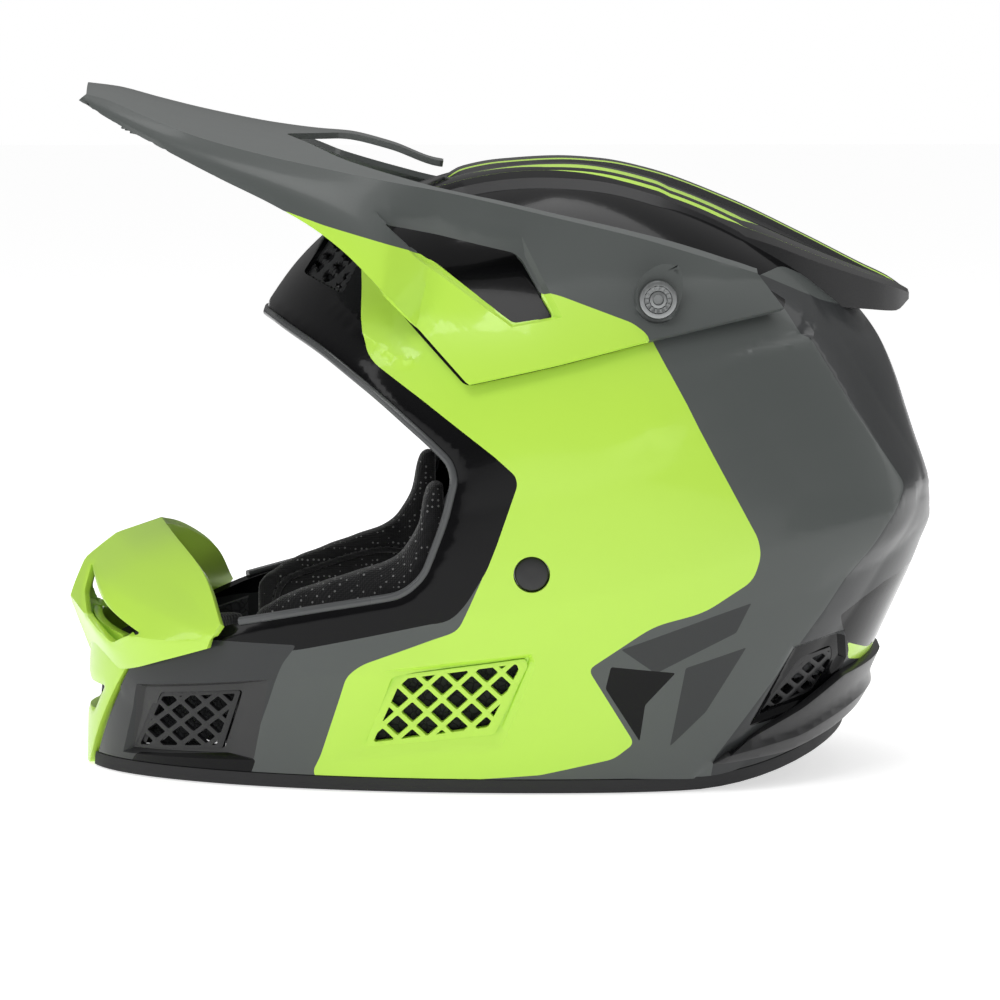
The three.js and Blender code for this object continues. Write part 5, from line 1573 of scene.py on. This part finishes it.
class HELMET_OT_soft(HelmetOperator, bpy.types.Operator):
    """Builds the cheek pads, headliner, neck roll, chin pad and strap pads with their seams"""

    bl_idname = "helmet.soft"
    bl_label = "Padding"

    def cheek(self):
        pad = cushion("cheek_pad_sewn_left", "cheek_pad_left", "open_knit", voxel=4.0, shrink=2.0, swell=4.0)
        inner = dense(rounded([(-97, 31, 8), (-33, 31, 8), (-31, 78, 6), (-47, 82, 8), (-68, 77, 8),
                               (-94, 68, 8)],
                              8.0), 2.0)
        inner = np.vstack([inner, inner[:1]])
        seam = on_pad(pad, [(x, 0, z) for x, z in inner], [(0, -1, 0)] * len(inner), 0.2)
        wing = [(-31, 66), (-60, 60), (-96, 52)]
        wing = dense(np.array(wing, float), 2.0, False)
        channel = on_pad(pad, [(x, 0, z) for x, z in wing], [(0, -1, 0)] * len(wing), 0.1)
        sink_along(pad, seam, 1.4, 5.0)
        sink_along(pad, channel, 1.6, 6.0)
        seam[:, 1] -= 0.9
        channel[:, 1] -= 1.1
        piping = tube("cheek_piping_left", seam[:-1], settings().piping_radius / MM, "knit", True)
        outer = seam.copy()
        middle = seam.mean(0)
        outer[:, [0, 2]] += (seam - middle)[:, [0, 2]] * 0.05
        outer = on_pad(pad, [(x, 0, z) for x, _, z in outer], [(0, -1, 0)] * len(outer), 0.1)
        upper, lower = channel + (0, 0, 1.6), channel - (0, 0, 1.6)
        rows = [on_pad(pad, [(x, 0, z) for x, _, z in line], [(0, -1, 0)] * len(line), 0.1)
                for line in (upper, lower)]
        sewn = stitches("cheek_stitches_left", [outer, *rows], "cheek_left")
        return pad, piping, sewn

    def headliner(self):
        liner = cushion("headliner_sewn", "headliner", "knit",
                        voxel=3.6, shrink=0.8, swell=1.6, pressure=2.0, smooth=3)
        centre = np.array([33.5, 0, 122.0])
        paths = []
        for tilt in (-0.42, 0.42):
            sweep = np.linspace(0.35, 2.6, 90)
            aims = [(-math.cos(a), math.sin(tilt) * 1.0, math.sin(a)) for a in sweep]
            paths.append(on_pad(liner, [centre] * len(aims), aims, 0.15))
        for start_x in (0.0, 62.0):
            sweep = np.linspace(0.45, math.pi - 0.45, 90)
            aims = [((start_x - 33.5) / 90, -math.cos(a), math.sin(a)) for a in sweep]
            paths.append(on_pad(liner, [centre] * len(aims), aims, 0.15))
        for path in paths:
            if len(path):
                sink_along(liner, path, 1.3, 5.0)
        sewn = stitches("headliner_stitches", [p for p in paths if len(p) > 3], "helmet")
        return liner, sewn

    def build(self, context):
        left = self.cheek()
        right = [mirrored(obj, obj.name.replace("left", "right")) for obj in left]
        for side, parts in (("left", left), ("right", right)):
            soft_piece(parts[0], f"cheek_pad_{side}", "cheek_" + side)
            for part in parts[1:]:
                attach(part, "cheek_" + side)
        liner, _ = self.headliner()
        soft_piece(liner, "headliner", "helmet")
        roll = cushion("neck_roll_sewn", "neck_roll", "knit", voxel=4.0, shrink=1.4, swell=2.6)
        soft_piece(roll, "neck_roll", "helmet")
        lane = np.linspace(-1.9, 1.9, 120)
        aims = [(math.cos(a), math.sin(a), 0) for a in lane]
        seam = on_pad(roll, [(45, 0, 37)] * len(aims), aims, 0.1)
        sink_along(roll, seam, 1.2, 4.0)
        stitches("neck_roll_stitches", [seam], "helmet")
        chin = cushion("chin_pad_sewn", "chin_pad", "knit", voxel=2.6, shrink=0.8, swell=1.4)
        soft_piece(chin, "chin_pad", "helmet")
        for side in ("left", "right"):
            sleeve = cushion(f"strap_pad_sewn_{side}", f"strap_pad_{side}", "open_knit",
                             voxel=2.0, shrink=0.5, swell=0.9, pressure=3.0, smooth=4)
            soft_piece(sleeve, f"strap_pad_{side}", "chin_strap")


# ---------------------------------------------------------------- chin strap


HANGER_BAR = (83.0, 74.5)
BUCKLE = np.array([52.0, 30.0])
STRAP_SLOPE = np.array([-0.774, -0.633])
STRAP_OUT = np.array([0.633, -0.774])
STRAP_WIDTH = 24.0
STRAP_THICKNESS = 1.7
RING_WIRE = 1.75
TURN = RING_WIRE + STRAP_THICKNESS / 2 + 0.65


def on_buckle(along, out):
    return tuple(BUCKLE + STRAP_SLOPE * along + STRAP_OUT * out)


def ribbon(name, line, closed=False, width=STRAP_WIDTH, thickness=STRAP_THICKNESS):
    """Webbing swept along a line drawn in the front view, with soft edges."""
    line = np.asarray(line, float)
    count = len(line)
    if closed:
        ahead = np.roll(line, -1, axis=0) - np.roll(line, 1, axis=0)
    else:
        ahead = np.gradient(line, axis=0)
    ahead /= np.linalg.norm(ahead, axis=1, keepdims=True)
    side = np.column_stack([-ahead[:, 1], ahead[:, 0]])
    half_t, half_w = thickness / 2, width / 2
    section = [(-half_w + 0.6, -half_t)] + [(half_w * s, -half_t) for s in (-0.6, -0.2, 0.2, 0.6)]
    section += [(half_w - 0.6, -half_t), (half_w, -half_t * 0.35), (half_w, half_t * 0.35)]
    section = section + [(-a, -b) for a, b in section]
    verts, faces = [], []
    for (y, z), (ny, nz) in zip(line, side):
        verts.extend((PLUG[0] + a, y + ny * b, z + nz * b) for a, b in section)
    k = len(section)
    for i in range(count if closed else count - 1):
        j = (i + 1) % count
        faces.extend((i * k + m, i * k + (m + 1) % k, j * k + (m + 1) % k, j * k + m) for m in range(k))
    if not closed:
        faces += [tuple(range(k - 1, -1, -1)), tuple((count - 1) * k + m for m in range(k))]
    return settle(tidy_normals(piece(name, verts, faces, [finish("webbing")])), 50)


def round_loop(centre, along, half_long, half_thick):
    across = (-along[1], along[0])
    out = []
    for angle in np.linspace(0, 2 * math.pi, 37)[:-1]:
        a = np.sign(round(math.cos(angle), 2)) * (half_long - half_thick) + half_thick * math.cos(angle)
        b = half_thick * math.sin(angle)
        out.append((centre[0] + along[0] * a + across[0] * b, centre[1] + along[1] * a + across[1] * b))
    return out


def join(name, objs):
    """One object from several."""
    bm = bmesh.new()
    for obj in objs:
        bm.from_mesh(obj.data)
    mesh = bpy.data.meshes.new(name)
    bm.to_mesh(mesh)
    bm.free()
    for material in objs[0].data.materials:
        mesh.materials.append(material)
    for obj in objs:
        old = obj.data
        bpy.data.objects.remove(obj)
        bpy.data.meshes.remove(old)
    return settle(new_object(name, mesh), 50)


class HELMET_OT_strap(HelmetOperator, bpy.types.Operator):
    """Builds the chin strap, its D-rings and its stitching"""

    bl_idname = "helmet.strap"
    bl_label = "Chin strap"

    def ring(self, name, node, bar, bow):
        half_bar, corner, small = STRAP_WIDTH / 2 + 2.6, 2.8, 1.8
        reach = math.hypot(bow[0] - bar[0], bow[1] - bar[1])
        flat = [(half_bar - small, 0), (half_bar, small)]
        for centre, start in ((half_bar - corner, 0), (-half_bar + corner, math.pi / 2)):
            flat += [(centre + corner * math.cos(start + math.pi / 2 * i / 5),
                      reach - corner + corner * math.sin(start + math.pi / 2 * i / 5)) for i in range(6)]
        flat += [(-half_bar, small), (-half_bar + small, 0)]
        path = []
        for across, along in flat:
            share = along / reach
            y, z = on_buckle(bar[0] + (bow[0] - bar[0]) * share, bar[1] + (bow[1] - bar[1]) * share)
            path.append((PLUG[0] + across, y, z))
        ring = tube(name, path, RING_WIRE, "steel", True)
        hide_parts(node)
        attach(ring, "chin_strap")

    def build(self, context):
        bow_a, bow_b = (20, -3), (21, 3.4)
        short_line = [(HANGER_BAR[0], 69.4), (80.6, 58), (70, 44), on_buckle(-5, 0), on_buckle(-3.4, 0)]
        short = join("strap_short_woven", [
            ribbon("short_run", smooth_path(short_line, 1.5)),
            ribbon("short_hanger", round_loop(HANGER_BAR, (0, 1), 5.1, 2.2), True),
            ribbon("short_buckle", round_loop(BUCKLE, tuple(STRAP_OUT), 5.4, 3.4), True)])
        main_line = [(-HANGER_BAR[0], 69.4), (-80.6, 58), (-68, 40), (-48, 24), (-24, 13.5), (0, 9.8),
                     (14, 10.5),
                     on_buckle(bow_a[0] + 8, bow_a[1] - TURN), on_buckle(bow_a[0] + 1, bow_a[1] - TURN)]
        turn = [on_buckle(bow_a[0] + TURN * math.cos(math.pi * (1.5 - i / 6)),
                          bow_a[1] + TURN * math.sin(math.pi * (1.5 - i / 6))) for i in range(7)]
        tail = [on_buckle(bow_a[0] + 6, 0.2), on_buckle(bow_a[0] + 15, -1.6), (12.5, 7.5), (0, 6.9),
                (-24, 10.6),
                (-44, 18.6)]
        long_path = smooth_path([*main_line, *turn, *tail], 1.2)
        long = join("strap_long_woven", [
            ribbon("long_run", long_path),
            ribbon("long_hanger", round_loop((-HANGER_BAR[0], HANGER_BAR[1]), (0, 1), 5.1, 2.2), True)])
        for obj, node in ((short, "strap_short"), (long, "strap_long")):
            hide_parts(node)
            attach(obj, "chin_strap")
        rows = []
        main = smooth_path(main_line, 1.5)
        for edge in (-STRAP_WIDTH / 2 + 2, STRAP_WIDTH / 2 - 2):
            lift = STRAP_THICKNESS / 2 + 0.1
            ahead = np.gradient(main, axis=0)
            ahead /= np.linalg.norm(ahead, axis=1, keepdims=True)
            for sign in (-1, 1):
                rows.append([(PLUG[0] + edge, y - sign * lift * az, z + sign * lift * ay)
                             for (y, z), (ay, az) in zip(main[6:-10], ahead[6:-10])])
        stitches("strap_stitches", rows, "chin_strap")
        self.ring("d_ring_upper_wire", "d_ring_upper", (0, -2.05), bow_a)
        self.ring("d_ring_lower_wire", "d_ring_lower", (0, 2.05), bow_b)


class HELMET_OT_inner(HelmetOperator, bpy.types.Operator):
    """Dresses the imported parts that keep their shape"""

    bl_idname = "helmet.inner"
    bl_label = "Inner parts"

    def build(self, context):
        looks = {"foam": ("eps_crown", "eps_chin", "eps_side_left", "eps_side_right"),
                 "plastic": ("cheek_base_left", "cheek_base_right", "snap_stud", "snap_cap"),
                 "red": ("release_tab_left", "release_tab_right"),
                 "rubber": ("visor_washer_left", "visor_washer_right"),
                 "steel": ("visor_nut_left", "visor_nut_right", "anchor_bolt_left", "anchor_bolt_right",
                           "cheek_magnet_left", "cheek_magnet_right", "strap_hanger_left",
                           "strap_hanger_right")}
        for look, nodes in looks.items():
            for node in nodes:
                dress(node, look)



class HELMET_OT_stage(HelmetOperator, bpy.types.Operator):
    """Sets the pale floor, the soft studio light and the camera"""

    bl_idname = "helmet.stage"
    bl_label = "Studio stage"

    def build(self, context):
        scene = context.scene
        ground = bpy.data.meshes.new("floor")
        reach = 12.0
        ground.from_pydata([(-reach, -reach, -0.0005), (reach, -reach, -0.0005), (reach, reach, -0.0005),
                            (-reach, reach, -0.0005)], [], [(0, 1, 2, 3)])
        floor = bpy.data.objects.new("floor", ground)
        scene.collection.objects.link(floor)
        f = Finish("pale_floor")
        f.set(Base_Color=(0.8, 0.8, 0.8, 1), Roughness=0.9, Specular_IOR_Level=0.05)
        f.set(Emission_Color=(1, 1, 1, 1), Emission_Strength=0.62)
        ground.materials.append(f.material)

        world = bpy.data.worlds.new("studio")
        world.use_nodes = True
        tree = world.node_tree
        ambient = tree.nodes["Background"]
        seen, switch = tree.nodes.new("ShaderNodeBackground"), tree.nodes.new("ShaderNodeMixShader")
        ray, place = tree.nodes.new("ShaderNodeLightPath"), tree.nodes.new("ShaderNodeTexCoord")
        split, ramp = tree.nodes.new("ShaderNodeSeparateXYZ"), tree.nodes.new("ShaderNodeMapRange")
        ramp.inputs["From Min"].default_value, ramp.inputs["From Max"].default_value = -0.1, 0.95
        ramp.inputs["To Min"].default_value, ramp.inputs["To Max"].default_value = 0.06, 0.6
        tree.links.new(place.outputs["Generated"], split.inputs["Vector"])
        tree.links.new(split.outputs["Z"], ramp.inputs["Value"])
        tree.links.new(ramp.outputs["Result"], ambient.inputs["Strength"])
        ambient.inputs["Color"].default_value = (1, 1, 1, 1)
        seen.inputs["Color"].default_value = (1, 1, 1, 1)
        seen.inputs["Strength"].default_value = 1.0
        tree.links.new(ray.outputs["Is Camera Ray"], switch.inputs["Fac"])
        tree.links.new(ambient.outputs["Background"], switch.inputs[1])
        tree.links.new(seen.outputs["Background"], switch.inputs[2])
        tree.links.new(switch.outputs["Shader"], tree.nodes["World Output"].inputs["Surface"])
        scene.world = world
        scene.view_settings.view_transform = "Standard"
        for name, place_at, target, size, power in (
                ("key_softbox", (-0.7, -1.3, 1.9), (0, 0, 0.12), (1.2, 0.8), 14),
                ("top_softbox", (0.2, 0.2, 2.1), (0, 0, 0.1), (1.6, 1.2), 15),
                ("rear_strip", (1.5, 0.3, 0.8), (0.1, 0, 0.15), (0.3, 1.4), 2.5),
                ("front_strip", (-1.6, -0.6, 0.6), (-0.1, 0, 0.1), (0.3, 1.0), 3)):
            data = bpy.data.lights.new(name, "AREA")
            data.shape = "RECTANGLE"
            data.size, data.size_y = size
            data.energy = power
            lamp = bpy.data.objects.new(name, data)
            lamp.location = place_at
            lamp.rotation_euler = (Vector(target) - Vector(place_at)).to_track_quat("-Z", "Y").to_euler()
            scene.collection.objects.link(lamp)

        camera = bpy.data.objects.new("camera", bpy.data.cameras.new("camera"))
        azimuth, elevation, distance = math.radians(-2.0), math.radians(5.5), 2.0
        back = Vector((math.sin(azimuth) * math.cos(elevation), -math.cos(azimuth) * math.cos(elevation),
                       math.sin(elevation)))
        sensor, view_width = 36.0, 0.42
        camera.data.sensor_width = sensor
        camera.data.lens = sensor * distance / view_width
        camera.location = Vector((0, 0, 0.1086)) + back * distance
        camera.rotation_euler = (-back).to_track_quat("-Z", "Y").to_euler()
        scene.collection.objects.link(camera)
        scene.camera = camera


STEPS = (HELMET_OT_finishes, HELMET_OT_shell, HELMET_OT_vents, HELMET_OT_visor, HELMET_OT_crown,
         HELMET_OT_chin, HELMET_OT_trims, HELMET_OT_fasteners, HELMET_OT_soft, HELMET_OT_strap,
         HELMET_OT_inner, HELMET_OT_stage)


class HELMET_PT_panel(bpy.types.Panel):
    """Lists the steps that build the helmet"""

    bl_idname = "HELMET_PT_panel"
    bl_label = "Helmet"
    bl_space_type = "VIEW_3D"
    bl_region_type = "UI"
    bl_category = "Helmet"

    def draw(self, context):
        layout = self.layout
        chosen = context.scene.helmet_settings
        for name in chosen.bl_rna.properties.keys():
            if name not in ("rna_type", "name"):
                layout.prop(chosen, name)
        for step in STEPS:
            layout.operator(step.bl_idname)


def register():
    for kind in (HelmetSettings, *STEPS, HELMET_PT_panel):
        bpy.utils.register_class(kind)
    bpy.types.Scene.helmet_settings = PointerProperty(type=HelmetSettings)


def unregister():
    del bpy.types.Scene.helmet_settings
    for kind in (HELMET_PT_panel, *reversed(STEPS), HelmetSettings):
        bpy.utils.unregister_class(kind)


def main():
    register()
    for step in STEPS:
        family, call = step.bl_idname.split(".")
        getattr(getattr(bpy.ops, family), call)()
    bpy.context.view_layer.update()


if __name__ == "__main__":
    main()
